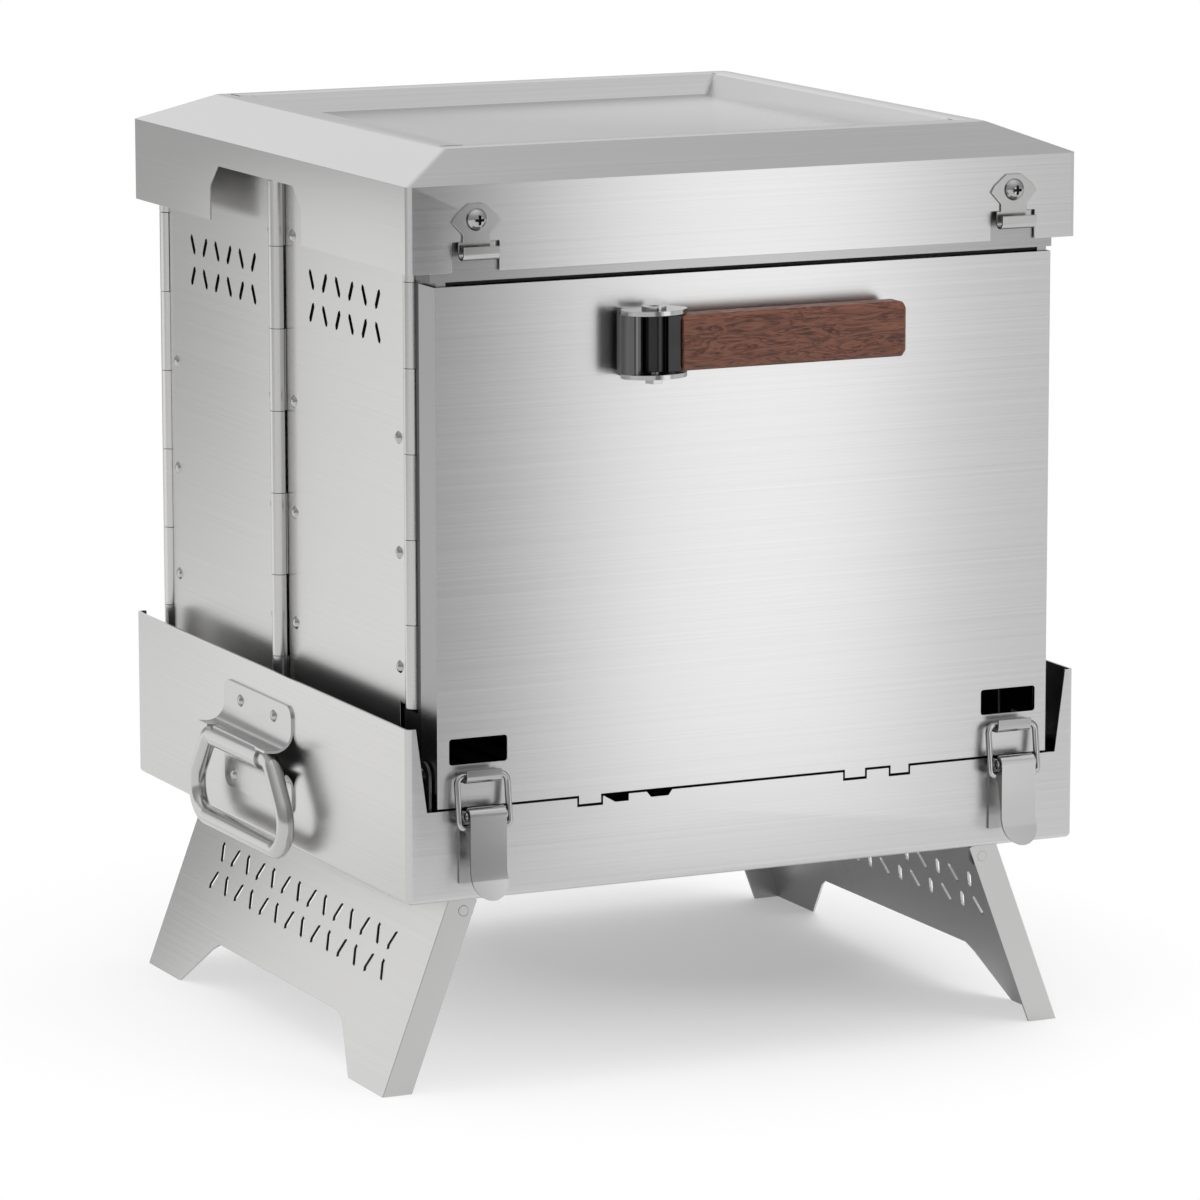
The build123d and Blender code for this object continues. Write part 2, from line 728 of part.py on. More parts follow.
def front_frame():
    y0 = frame_face
    y1 = frame_face + frame_sheet
    band_low = door_top + frame_band_gap
    back = front_face + door_flange
    frame = block(-frame_band_half, frame_band_half, y0, y1, band_low, wall_top)
    spans = knuckle_spans(post_foot_height + 2, hinge_top, 0)
    foot_front = door_pivot_y + post_foot_clear
    foot_back = foot_front + post_foot_length
    post_back = front_hinge_y - leaf_start
    for side in (-1, 1):
        band = side * frame_band_half
        frame += block(band, band - side * frame_sheet, y0, back, band_low, wall_top)
        outer = side * post_outer
        inner = side * (post_outer - frame_sheet)
        low = door_pivot_z + 2.0
        frame += block(outer, side * (post_outer - post_flange), y0, y1, low, wall_top)
        frame += block(outer, inner, y0, post_back, low, wall_top)
        frame += block(outer, inner, post_back, foot_back, low, post_foot_height)
        frame += block(outer, inner, foot_front, foot_back, wall_foot, post_foot_height)
        flange = block(side * (post_outer + 12), inner, foot_front, foot_back, wall_foot, wall_foot + frame_sheet)
        screw_x, screw_y = ledge_screw_place()
        flange -= rod((side * screw_x, screw_y, wall_foot - 1), (0, 0, 1), frame_screw_radius + pin_gap, 4)
        frame += flange
        for span in spans:
            frame += knuckle(side * corner_hinge_x, front_hinge_y, span)
            tab = block(outer, inner, post_back - 0.5, front_hinge_y - hinge_pin_radius - 1, span[0], span[1])
            frame += tab
    return frame


def frame_screws():
    screws = []
    x, y = ledge_screw_place()
    top = wall_foot + frame_sheet
    for side in (-1, 1):
        screw = rod((side * x, y, top), (0, 0, 1), frame_screw_head, frame_screw_top)
        screw += rod((side * x, y, top), (0, 0, -1), frame_screw_radius, frame_screw_length)
        screws.append(screw.solid())
    return Compound(screws)


# Door

def door_panel():
    w = door_half_width
    s = door_sheet
    f = front_face
    face = block(-w, w, f, f + s, door_bottom, door_top)
    for a, b in ((-91.2, -79.4), (53.4, 64.6), (78.8, 88.8)):
        face += block(a, b, f, f + s, door_bottom - door_tab_depth, door_bottom)
    face += block(-door_return_half, door_return_half, f, f + door_return, door_top - s, door_top)
    ear = door_flange - door_pivot_back
    for side in (-1, 1):
        flange = block(side * w, side * (w - s), f, f + door_flange, door_pivot_z, door_top)
        flange += block(side * w, side * (w - s), f, door_pivot_y, door_pivot_z - ear, door_pivot_z)
        flange += rod((min(side * w, side * (w - s)), door_pivot_y, door_pivot_z), (1, 0, 0), ear, s)
        face += flange
    face -= rod((-w - 1, door_pivot_y, door_pivot_z), (1, 0, 0), door_pin_radius + pin_gap, 2 * w + 2)
    low = door_pivot_z + door_slot_low
    high = door_pivot_z + door_slot_high
    seat = bar_z - hook_inner_radius
    for x in (-latch_x, latch_x):
        slot = RectangleRounded(door_slot_width, high - low, 1.5)
        plane = Plane((x, f - 1, (low + high) / 2), x_dir=(1, 0, 0), z_dir=(0, 1, 0))
        face -= extrude(plane * slot, amount=s + 2)
        face -= block(x - latch_width / 2, x + latch_width / 2, f - 1, f + s + 0.001,
                      seat - hook_sheet - 0.2, seat + 0.2)
    for z in (door_handle_rivets()):
        for x in (handle_x - handle_rivet_spread, handle_x + handle_rivet_spread):
            face -= rivet_hole((x, f, z), (0, -1, 0), s)
    return face


def door_handle_rivets():
    return (handle_z - 8.0, handle_z + 8.0)


def door_pins():
    # Headed pins through the door flanges, turning in the pivot brackets
    pins = []
    w = door_half_width
    out = frame_gap + pivot_bracket_sheet + side_gap
    for side in (-1, 1):
        start = (side * (w - door_sheet), door_pivot_y, door_pivot_z)
        pin = rod(start, (side, 0, 0), door_pin_radius, door_sheet + out)
        head = (side * (w + out), door_pivot_y, door_pivot_z)
        pin += dome(head, (side, 0, 0), door_pin_radius + 1.6, 1.5)
        pins.append(pin.solid())
    return Compound(pins)


def handle_bracket():
    # Plate on the door with an oval ear above and below the block, and a post between them
    low = handle_z - handle_height / 2
    high = handle_z + handle_height / 2
    y1 = front_face
    y0 = y1 - handle_plate_sheet
    w = handle_plate_half
    t = handle_ear_sheet
    bracket = block(handle_x - w, handle_x + w, y0, y1, low - handle_gap - t, high + handle_gap + t)
    for z in (low - handle_gap - t, high + handle_gap):
        oval = Pos(handle_x, handle_y, z) * Ellipse(handle_ear_half, handle_ear_reach - handle_out)
        ear = extrude(oval, amount=t) - block(handle_x - base_width, handle_x + base_width, y1, 0, z, z + t)
        ear += block(handle_x - w, handle_x + w, handle_y + 4, y1, z, z + t)
        bracket += ear
    bracket -= rod((handle_x, handle_y, low - 10), (0, 0, 1), handle_pin_radius + pin_gap, handle_height + 20)
    foot = (handle_x - handle_post_left, handle_y, low - handle_gap)
    bracket += rod(foot, (0, 0, 1), handle_post_radius, handle_height + 2 * handle_gap)
    for z in door_handle_rivets():
        for x in (handle_x - handle_rivet_spread, handle_x + handle_rivet_spread):
            bracket -= rivet_hole((x, y0, z), (0, -1, 0), handle_plate_sheet)
    return bracket


def handle_rivets():
    found = []
    grip = handle_plate_sheet + door_sheet
    for z in door_handle_rivets():
        for x in (handle_x - handle_rivet_spread, handle_x + handle_rivet_spread):
            start = (x, front_face - handle_plate_sheet, z)
            plane = Plane(start, z_dir=(0, -1, 0))
            flat = plane * Pos(0, 0, 0.25) * Cylinder(rivet_radius, 0.5)
            shank = plane * Pos(0, 0, -grip / 2) * Cylinder(rivet_shank, grip)
            tail = plane * Pos(0, 0, -grip - rivet_tail / 2) * Cylinder(rivet_tail_radius, rivet_tail)
            found.append((flat + shank + tail).solid())
    return Compound(found)


def handle_pin():
    low = handle_z - handle_height / 2 - handle_gap - handle_ear_sheet
    high = handle_z + handle_height / 2 + handle_gap + handle_ear_sheet
    pin = rod((handle_x, handle_y, low), (0, 0, 1), handle_pin_radius, high - low)
    head = rod((handle_x, handle_y, high), (0, 0, 1), handle_pin_head, 1.4)
    head -= Pos(handle_x, handle_y, high + 1.4) * extrude(RegularPolygon(2.6, 6), amount=1.0, both=True)
    nut = Pos(handle_x, handle_y, low) * extrude(RegularPolygon(4.6, 6), amount=-3.0)
    return pin + head + nut


def handle_block():
    # Knuckle that turns on the pin, with an arm that carries the grip
    low = handle_z - handle_height / 2
    piece = rod((handle_x, handle_y, low), (0, 0, 1), handle_knuckle_radius, handle_height)
    arm = block(handle_x + handle_arm_start, grip_start, handle_y - handle_arm_front, grip_front() + grip_depth,
                low, low + handle_height)
    web = block(handle_x, grip_start, handle_y, handle_y + handle_knuckle_radius, low, low + handle_height)
    piece += arm + web
    piece -= rod((handle_x, handle_y, low - 1), (0, 0, 1), handle_pin_radius + pin_gap, handle_height + 2)
    return piece


def grip_front():
    return handle_y - grip_forward


def handle_grip():
    low = handle_z - handle_height / 2
    y0 = grip_front()
    bar = block(grip_start, grip_start + grip_length, y0, y0 + grip_depth, low, low + handle_height)
    bar = chamfer(bar.edges().filter_by(Axis.X), grip_chamfer)
    end = bar.faces().sort_by(Axis.X)[-1]
    return chamfer(end.edges(), grip_chamfer - 0.5)


# Side walls. The left ones are modelled and the right ones mirrored from them.

def wall_rivet_places(edge_y, rows):
    return [(-wall_outer, edge_y, z) for z in rows]


def front_wall_rivets():
    near = front_hinge_y + leaf_start + rivet_edge
    far = centre_hinge_y - leaf_start - rivet_edge
    return wall_rivet_places(near, edge_rivets) + wall_rivet_places(far, centre_rivets)


def rear_wall_rivets():
    near = centre_hinge_y + leaf_start + rivet_edge
    far = rear_hinge_y - leaf_start - rivet_edge
    return wall_rivet_places(near, centre_rivets) + wall_rivet_places(far, edge_rivets)


def wall_rivets(places):
    return [rivet(place, (-1, 0, 0), wall_sheet + hinge_leaf) for place in places]


def side_panel(y0, y1, places):
    panel = block(-wall_outer, -wall_inner, y0, y1, wall_foot, wall_top)
    rows = [vent_top_row, vent_top_row - vent_row_step]
    panel -= slot_cutters(vent_count, vent_pitch, rows, (y0 + y1) / 2, -wall_outer - 1, -wall_inner + 1)
    panel -= [rivet_hole(place, (-1, 0, 0), wall_sheet) for place in places]
    return panel


def front_panel():
    y0 = front_hinge_y + leaf_start + 0.3
    panel = side_panel(y0, centre_hinge_y - leaf_start + 0.2, front_wall_rivets())
    foot_reach = door_pivot_y + post_foot_clear + post_foot_length - front_hinge_y + 4
    return panel - block(-wall_outer - 1, -wall_inner + 1, y0 - 1, front_hinge_y + foot_reach,
                         wall_foot - 1, post_foot_height + 3)


def rear_panel():
    return side_panel(centre_hinge_y + leaf_start - 0.2, rear_hinge_y - leaf_start - 0.3, rear_wall_rivets())


def hinge_strip(hinge_x, hinge_y, along, low, high, first, places):
    # Leaf riveted inside a wall, with its own share of the knuckles
    near = hinge_y + along * leaf_start
    far = hinge_y + along * hinge_leaf_width
    strip = block(-wall_inner, -leaf_inner, near, far, low, high)
    for span in knuckle_spans(low, high, first):
        root = hinge_y + along * (hinge_pin_radius + 1)
        if hinge_x > wall_outer:
            root = hinge_y
        bridge = block(-wall_inner, -leaf_inner, root, near + along * 0.5, span[0], span[1])
        bridge -= rod((-hinge_x, hinge_y, span[0] - 1), (0, 0, 1), hinge_pin_radius + 0.5, span[1] - span[0] + 2)
        strip += knuckle(-hinge_x, hinge_y, span) + bridge
    strip -= [rivet_hole(place, (-1, 0, 0), wall_sheet + hinge_leaf) for place in places
              if min(near, far) < place[1] < max(near, far)]
    return strip


def front_leaves():
    a = hinge_strip(corner_hinge_x, front_hinge_y, 1, post_foot_height + 2, hinge_top, 1, front_wall_rivets())
    b = hinge_strip(centre_hinge_x, centre_hinge_y, -1, wall_foot, hinge_top, 0, front_wall_rivets())
    return Compound([a.solid(), b.solid()])


def rear_leaves():
    a = hinge_strip(centre_hinge_x, centre_hinge_y, 1, wall_foot, hinge_top, 1, rear_wall_rivets())
    b = hinge_strip(corner_hinge_x, rear_hinge_y, -1, wall_foot, hinge_top, 0, rear_wall_rivets())
    return Compound([a.solid(), b.solid()])


def back_panel():
    # Plain sheet whose two side edges are rolled into the rear corner hinges
    y1 = back_outer_y
    y0 = y1 - wall_sheet
    edge = corner_hinge_x - knuckle_clear - (2 * knuckle_radius * wall_sheet) ** 0.5
    panel = block(-edge, edge, y0, y1, wall_foot, wall_top)
    for span in knuckle_spans(wall_foot, hinge_top, 1):
        for side in (-1, 1):
            x = side * corner_hinge_x
            roll = knuckle(x, rear_hinge_y, span)
            bridge = block(x, side * (edge - 0.5), y0, y1, span[0], span[1])
            panel += roll + bridge
    return panel


# Carry handles

def arc_points(x, z, radius, first, last, count):
    turn = [radians(first + (last - first) * step / count) for step in range(count + 1)]
    return [(x + radius * cos(a), z + radius * sin(a)) for a in turn]


def sheet_along(points, thickness):
    # Outline of a sheet whose middle follows the points
    left, right = [], []
    for index, (x, z) in enumerate(points):
        before = points[max(index - 1, 0)]
        after = points[min(index + 1, len(points) - 1)]
        run = Vector(after[0] - before[0], 0, after[1] - before[1]).normalized()
        left.append((x - run.Z * thickness / 2, z + run.X * thickness / 2))
        right.append((x + run.Z * thickness / 2, z - run.X * thickness / 2))
    return left + right[::-1]


def carry_bracket():
    # Plate bent outward in a soft fold and rolled round the upper bar of the ring, with
    # a flared wing at each end, then back to the wall as a lower plate
    x, z = -carry_x, carry_pivot_z
    wall = -half_width - carry_sheet / 2
    middle = carry_rod_radius + round_gap + carry_sheet / 2
    bend = carry_pivot_out - carry_sheet
    top = arc_points(wall - bend, z + middle + bend, bend, 0, -90, 10)
    low = arc_points(wall - bend, z - middle - bend, bend, 90, 0, 10)
    upper = [(wall, carry_plate_top)] + top
    lower = low + [(wall, carry_plate_bottom)]
    around = arc_points(x, z, middle, 90, 270, 24)
    whole = upper[:-1] + around + lower[1:]
    half, roll = carry_plate_half, carry_roll_half
    bracket = plate_y(sheet_along(whole, carry_sheet), -roll, roll)
    wing = upper[:-1] + [(x, z + middle), (x - carry_wing, z + middle + carry_wing_lift)]
    for side in (-1, 1):
        near, far = min(side * roll, side * half), max(side * roll, side * half)
        bracket += plate_y(sheet_along(wing, carry_sheet), near, far)
        bracket += plate_y(sheet_along(lower[4:], carry_sheet), near, far)
    bracket = Pos(0, carry_y, 0) * fillet_corners(bracket, half)
    for start, direction in carry_rivet_places():
        bracket -= rivet_hole(start, direction, carry_sheet)
    return bracket


def fillet_corners(bracket, half):
    edges = bracket.edges().filter_by(Axis.X)
    corners = [e for e in edges if abs(abs(e.center().Y) - half) < 0.1 and
               (e.center().Z > carry_plate_top - 1 or e.center().Z < carry_plate_bottom + 1)]
    return fillet(corners, carry_plate_corner)


def carry_rivet_places():
    face = half_width + carry_sheet
    high = (carry_rivet_spread, carry_plate_top - 8)
    low = (carry_rivet_low_spread, carry_plate_bottom + 7)
    return [((side * face, carry_y + along * spread, z), (side, 0, 0))
            for side in (-1, 1) for along in (-1, 1) for spread, z in (high, low)]


def carry_ring():
    # Closed loop of round bar: the upper bar turns in the bracket, the lower one is the grip
    x, z = -carry_x, carry_pivot_z
    a, b, d = carry_top_half, carry_bottom_half, carry_drop
    bends = [carry_bend_radius, carry_grip_radius]
    half = wire_rod([(x, 0, z), (x, a, z), (x, b, z - d), (x, 0, z - d)], bends, carry_rod_radius)
    return Pos(0, carry_y, 0) * (half + mirror(half, about=Plane.XZ))


# Lid and cooking grate

def lid_shell():
    w, d = lid_width, lid_depth
    s = lid_sheet
    rim = 2 * lid_rim_half
    radius = lid_corner_radius
    skirt = Pos(0, 0, lid_skirt_bottom) * extrude(RectangleRounded(w, d, radius), amount=lid_skirt_height)
    outer = skirt + frustum((w, d), lid_skirt_top, (rim, rim), lid_top, radius)
    low = Pos(0, 0, lid_skirt_bottom - 1) * extrude(RectangleRounded(w - 2 * s, d - 2 * s, radius - s),
                                                    amount=lid_skirt_height + 1 - 0.4)
    inner = low + frustum((w - 2 * s, d - 2 * s), lid_skirt_top - 0.4, (rim - 2 * s, rim - 2 * s), lid_top - s,
                          radius - s)
    lip = rim - 2 * lid_rim_width
    floor = lip - 2 * lid_tray_inset
    floor_z = lid_top - lid_tray_depth
    pan = frustum((floor + 2 * s, floor + 2 * s), floor_z - s, (lip + 2 * s, lip + 2 * s), lid_top, radius)
    recess = frustum((floor, floor), floor_z, (lip, lip), lid_top, radius)
    shell = (outer - inner) + pan - recess
    shell -= side_notches()
    for x in (-latch_x, latch_x):
        half = catch_notch_half
        top = lid_skirt_bottom + catch_notch_height
        shell -= block(x - half, x + half, -d / 2 - 1, -d / 2 + s + 1, lid_skirt_bottom - 1, top)
        shell -= rod((x, -d / 2 - 1, catch_screw_z), (0, 1, 0), 2 + pin_gap, s + 2)
    return shell


def side_notches():
    # The skirt is cut away on both sides where the centre hinge stands
    z0 = lid_skirt_bottom - 1
    z1 = lid_skirt_bottom + lid_notch_height
    c = lid_notch_chamfer
    y, h = centre_hinge_y, lid_notch_half
    outline = [(y - h, z0), (y - h, z1 - c), (y - h + c, z1), (y + h - c, z1), (y + h, z1 - c), (y + h, z0)]
    return plate_x(outline, -lid_width / 2 - 1, lid_width / 2 + 1)


def cooking_grate():
    # Bars along the depth, welded on thicker cross wires that rest on the side walls
    cross_z = grate_low + grate_cross_radius
    w = grate_half_width
    d = grate_half_depth
    cross = [rod((-w, -d + 2 * d * i / (grate_cross_count - 1), cross_z), (1, 0, 0), grate_cross_radius, 2 * w)
             for i in range(grate_cross_count)]
    count = int((w - grate_bar_margin) / grate_bar_pitch)
    reach = d + grate_bar_overhang
    bars = [rod((i * grate_bar_pitch, -reach, grate_bar_z), (0, 1, 0), grate_bar_radius, 2 * reach)
            for i in range(-count, count + 1)]
    return fuse(cross + bars)


# Build every node

def build():
    parts["base_tray"] = base_tray()
    parts["wall_ledges"] = wall_ledges()
    parts["door_pivot_brackets"] = pivot_brackets()
    parts["charcoal_tray"] = charcoal_tray()
    parts["fire_grate"] = fire_grate()
    parts["leg_ears"] = leg_ears()
    parts["leg_pins"] = leg_pins()
    leg = left_leg()
    parts["left_leg"] = leg
    parts["right_leg"] = mirrored(leg)
    parts["latch_plates"] = pair_of(latch_plate())
    parts["latch_pins"] = pair_of(latch_pin())
    lever = latch_lever()
    bail = latch_bail()
    for name, x in (("left", -latch_x), ("right", latch_x)):
        parts[name + "_latch_lever"] = Pos(x, 0, 0) * lever
        parts[name + "_latch_bail"] = Pos(x, 0, 0) * bail
    parts["base_rivets"] = base_rivets()
    bracket = carry_bracket()
    ring = carry_ring()
    parts["left_carry_bracket"] = bracket
    parts["right_carry_bracket"] = mirrored(bracket)
    parts["left_carry_ring"] = ring
    parts["right_carry_ring"] = mirrored(ring)
    parts["front_frame"] = front_frame()
    parts["frame_screws"] = frame_screws()
    parts["door_panel"] = door_panel()
    parts["door_hooks"] = pair_of(door_hook())
    parts["door_pins"] = door_pins()
    parts["handle_bracket"] = handle_bracket()
    parts["handle_rivets"] = handle_rivets()
    parts["handle_pin"] = handle_pin()
    parts["handle_block"] = handle_block()
    parts["handle_grip"] = handle_grip()
    for name, shape in (("front_panel", front_panel()), ("rear_panel", rear_panel()),
                        ("front_leaves", front_leaves()), ("rear_leaves", rear_leaves())):
        parts["left_" + name] = shape
        parts["right_" + name] = mirrored(shape)
    front_rivets = Compound([r.solid() for r in wall_rivets(front_wall_rivets())])
    rear_rivets = Compound([r.solid() for r in wall_rivets(rear_wall_rivets())])
    parts["left_front_rivets"] = front_rivets
    parts["right_front_rivets"] = mirrored(front_rivets)
    parts["left_rear_rivets"] = rear_rivets
    parts["right_rear_rivets"] = mirrored(rear_rivets)
    parts["back_panel"] = back_panel()
    front_pin = hinge_pin(-corner_hinge_x, front_hinge_y, post_foot_height + 2, hinge_top)
    parts["front_hinge_pins"] = Compound([front_pin.solid(), mirrored(front_pin).solid()])
    centre_pin = hinge_pin(-centre_hinge_x, centre_hinge_y, wall_foot, hinge_top)
    parts["left_centre_hinge_pin"] = centre_pin
    parts["right_centre_hinge_pin"] = mirrored(centre_pin)
    rear_pin = hinge_pin(-corner_hinge_x, rear_hinge_y, wall_foot, hinge_top)
    parts["rear_hinge_pins"] = Compound([rear_pin.solid(), mirrored(rear_pin).solid()])
    parts["lid_shell"] = lid_shell()
    parts["lid_catches"] = pair_of(lid_catch())
    parts["lid_screws"] = pair_of(catch_screw())
    parts["cooking_grate"] = cooking_grate()


build()

# The origin goes under the middle of the whole thing, which reaches from the grip to the base's back
grip_reach = min(grip_front(), handle_y - (handle_ear_reach - handle_out))
depth_shift = -(grip_reach + half_depth) / 2
place = Pos(0, depth_shift, leg_drop)

for name, shape in parts.items():
    export_step(place * shape, f"parts/{name}.step")
    print(name, round(shape.volume), len(shape.solids()))
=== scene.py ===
import bpy, bmesh, json
from math import sin, cos, radians
from mathutils import Matrix, Vector

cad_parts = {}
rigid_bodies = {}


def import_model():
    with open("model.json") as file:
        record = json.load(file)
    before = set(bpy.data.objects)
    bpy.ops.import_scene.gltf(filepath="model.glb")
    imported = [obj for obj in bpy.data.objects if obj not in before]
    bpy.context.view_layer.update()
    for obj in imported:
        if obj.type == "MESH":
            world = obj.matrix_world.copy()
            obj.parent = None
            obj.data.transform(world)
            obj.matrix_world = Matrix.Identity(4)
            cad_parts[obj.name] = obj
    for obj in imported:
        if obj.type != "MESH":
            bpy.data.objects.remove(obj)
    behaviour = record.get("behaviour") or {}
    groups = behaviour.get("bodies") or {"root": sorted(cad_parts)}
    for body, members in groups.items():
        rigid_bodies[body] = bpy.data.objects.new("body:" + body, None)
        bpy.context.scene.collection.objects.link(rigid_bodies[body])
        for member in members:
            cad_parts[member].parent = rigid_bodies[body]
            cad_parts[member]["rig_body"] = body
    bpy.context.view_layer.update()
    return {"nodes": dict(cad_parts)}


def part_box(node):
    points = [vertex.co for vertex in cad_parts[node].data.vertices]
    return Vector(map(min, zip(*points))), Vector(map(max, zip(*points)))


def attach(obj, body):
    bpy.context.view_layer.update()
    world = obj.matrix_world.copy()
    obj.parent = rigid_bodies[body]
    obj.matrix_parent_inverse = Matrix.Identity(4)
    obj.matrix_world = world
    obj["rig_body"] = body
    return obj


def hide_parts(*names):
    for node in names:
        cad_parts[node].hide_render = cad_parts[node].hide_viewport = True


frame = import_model()
print("frame loaded:", len(frame["nodes"]), "nodes")

# Helpers for meshes and objects


def meshFrom(work, name):
    mesh = bpy.data.meshes.new(name)
    work.to_mesh(mesh)
    work.free()
    return mesh


def addObject(name, data):
    obj = bpy.data.objects.new(name, data)
    bpy.context.scene.collection.objects.link(obj)
    return obj


def paint(obj, *mats):
    obj.data.materials.clear()
    for mat in mats:
        obj.data.materials.append(mat)


# Helpers for shader nodes. Nearly all of a noise texture's values lie within noiseSpan.
noiseSpan = (0.3, 0.7)


def blankMaterial(name):
    mat = bpy.data.materials.new(name)
    mat.use_nodes = True
    tree = mat.node_tree
    tree.nodes.clear()
    return mat, tree, tree.nodes.new("ShaderNodeOutputMaterial")


def newMaterial(name):
    mat, tree, out = blankMaterial(name)
    shader = tree.nodes.new("ShaderNodeBsdfPrincipled")
    tree.links.new(shader.outputs["BSDF"], out.inputs["Surface"])
    return mat, tree, shader


def newGroup(name, inputs, outputs):
    group = bpy.data.node_groups.new(name, "ShaderNodeTree")
    for label, kind, value in inputs:
        socket = group.interface.new_socket(name=label, in_out="INPUT", socket_type=kind)
        socket.default_value = value
    for label, kind in outputs:
        group.interface.new_socket(name=label, in_out="OUTPUT", socket_type=kind)
    return group, group.nodes.new("NodeGroupInput"), group.nodes.new("NodeGroupOutput")


def objectCoords(tree):
    return tree.nodes.new("ShaderNodeTexCoord").outputs["Object"]


def scaledCoords(tree, coords, scale):
    mapping = tree.nodes.new("ShaderNodeMapping")
    mapping.inputs["Scale"].default_value = scale
    tree.links.new(coords, mapping.inputs["Vector"])
    return mapping.outputs["Vector"]


def mathNode(tree, operation, a, b):
    node = tree.nodes.new("ShaderNodeMath")
    node.operation = operation
    for socket, value in zip(node.inputs, (a, b)):
        if isinstance(value, bpy.types.NodeSocket):
            tree.links.new(value, socket)
        else:
            socket.default_value = value
    return node.outputs[0]


def rangeNode(tree, value, low, high, toLow, toHigh, smooth=False):
    node = tree.nodes.new("ShaderNodeMapRange")
    if smooth:
        node.interpolation_type = "SMOOTHSTEP"
    tree.links.new(value, node.inputs["Value"])
    for label, number in (("From Min", low), ("From Max", high), ("To Min", toLow), ("To Max", toHigh)):
        node.inputs[label].default_value = number
    return node.outputs[0]


def noiseNode(tree, vector, scale, detail, roughness=0.5, distortion=0.0):
    node = tree.nodes.new("ShaderNodeTexNoise")
    node.inputs["Scale"].default_value = scale
    node.inputs["Detail"].default_value = detail
    node.inputs["Roughness"].default_value = roughness
    node.inputs["Distortion"].default_value = distortion
    tree.links.new(vector, node.inputs["Vector"])
    return node


def mixColours(tree, share, first, second):
    mix = tree.nodes.new("ShaderNodeMix")
    mix.data_type = "RGBA"
    tree.links.new(share, mix.inputs["Factor"])
    for label, colour in (("A", first), ("B", second)):
        if isinstance(colour, bpy.types.NodeSocket):
            tree.links.new(colour, mix.inputs[label])
        else:
            mix.inputs[label].default_value = (*colour, 1)
    return mix.outputs["Result"]


def bumpNode(tree, height, shader, strength, depth):
    bump = tree.nodes.new("ShaderNodeBump")
    bump.inputs["Strength"].default_value = strength
    bump.inputs["Distance"].default_value = depth
    tree.links.new(height, bump.inputs["Height"])
    tree.links.new(bump.outputs["Normal"], shader.inputs["Normal"])
    return bump


# Fine lines left by the polishing belt, with a trace of broader ones
beltLines = {"detail": 3.0, "roughness": 0.75, "fineShare": 0.95, "broadScale": 0.22, "broadDetail": 2.0,
             "broadShare": 0.05, "cloudDetail": 3.0}


def makeBrushGroup():
    # The lines are stretched noise, and the cloud is slow noise that varies the sheen
    group, given, out = newGroup("beltBrush", [("Lines", "NodeSocketVector", (4, 900, 900)),
                                               ("Cloud Scale", "NodeSocketFloat", 9.0)],
                                 [("Lines", "NodeSocketFloat"), ("Cloud", "NodeSocketFloat")])
    coords = objectCoords(group)
    scaled = group.nodes.new("ShaderNodeVectorMath")
    scaled.operation = "MULTIPLY"
    group.links.new(coords, scaled.inputs[0])
    group.links.new(given.outputs["Lines"], scaled.inputs[1])
    fine = noiseNode(group, scaled.outputs[0], 1.0, beltLines["detail"], beltLines["roughness"])
    broad = noiseNode(group, scaled.outputs[0], beltLines["broadScale"], beltLines["broadDetail"])
    lines = mathNode(group, "ADD", mathNode(group, "MULTIPLY", fine.outputs["Fac"], beltLines["fineShare"]),
                     mathNode(group, "MULTIPLY", broad.outputs["Fac"], beltLines["broadShare"]))
    cloud = noiseNode(group, coords, 1.0, beltLines["cloudDetail"])
    group.links.new(given.outputs["Cloud Scale"], cloud.inputs["Scale"])
    group.links.new(lines, out.inputs["Lines"])
    group.links.new(cloud.outputs["Fac"], out.inputs["Cloud"])
    return group


beltBrush = makeBrushGroup()


def brushedSteel(name, finish):
    mat, tree, shader = newMaterial(name)
    shader.inputs["Metallic"].default_value = 1.0
    brush = tree.nodes.new("ShaderNodeGroup")
    brush.node_tree = beltBrush
    brush.inputs["Lines"].default_value = finish["lines"]
    brush.inputs["Cloud Scale"].default_value = finish["cloudScale"]
    lines, cloud = brush.outputs["Lines"], brush.outputs["Cloud"]
    tone = rangeNode(tree, lines, *noiseSpan, 0.0, 1.0)
    tree.links.new(mixColours(tree, tone, finish["dark"], finish["light"]), shader.inputs["Base Color"])
    rough, spread = finish["rough"], finish["roughSpread"]
    lineRough = rangeNode(tree, lines, *noiseSpan, -spread, spread)
    cloudRough = rangeNode(tree, cloud, *noiseSpan, rough - spread / 2, rough + spread / 2)
    tree.links.new(mathNode(tree, "ADD", lineRough, cloudRough), shader.inputs["Roughness"])
    if "bump" in finish:
        bumpNode(tree, lines, shader, finish["bump"], finish["bumpDepth"])
    return mat


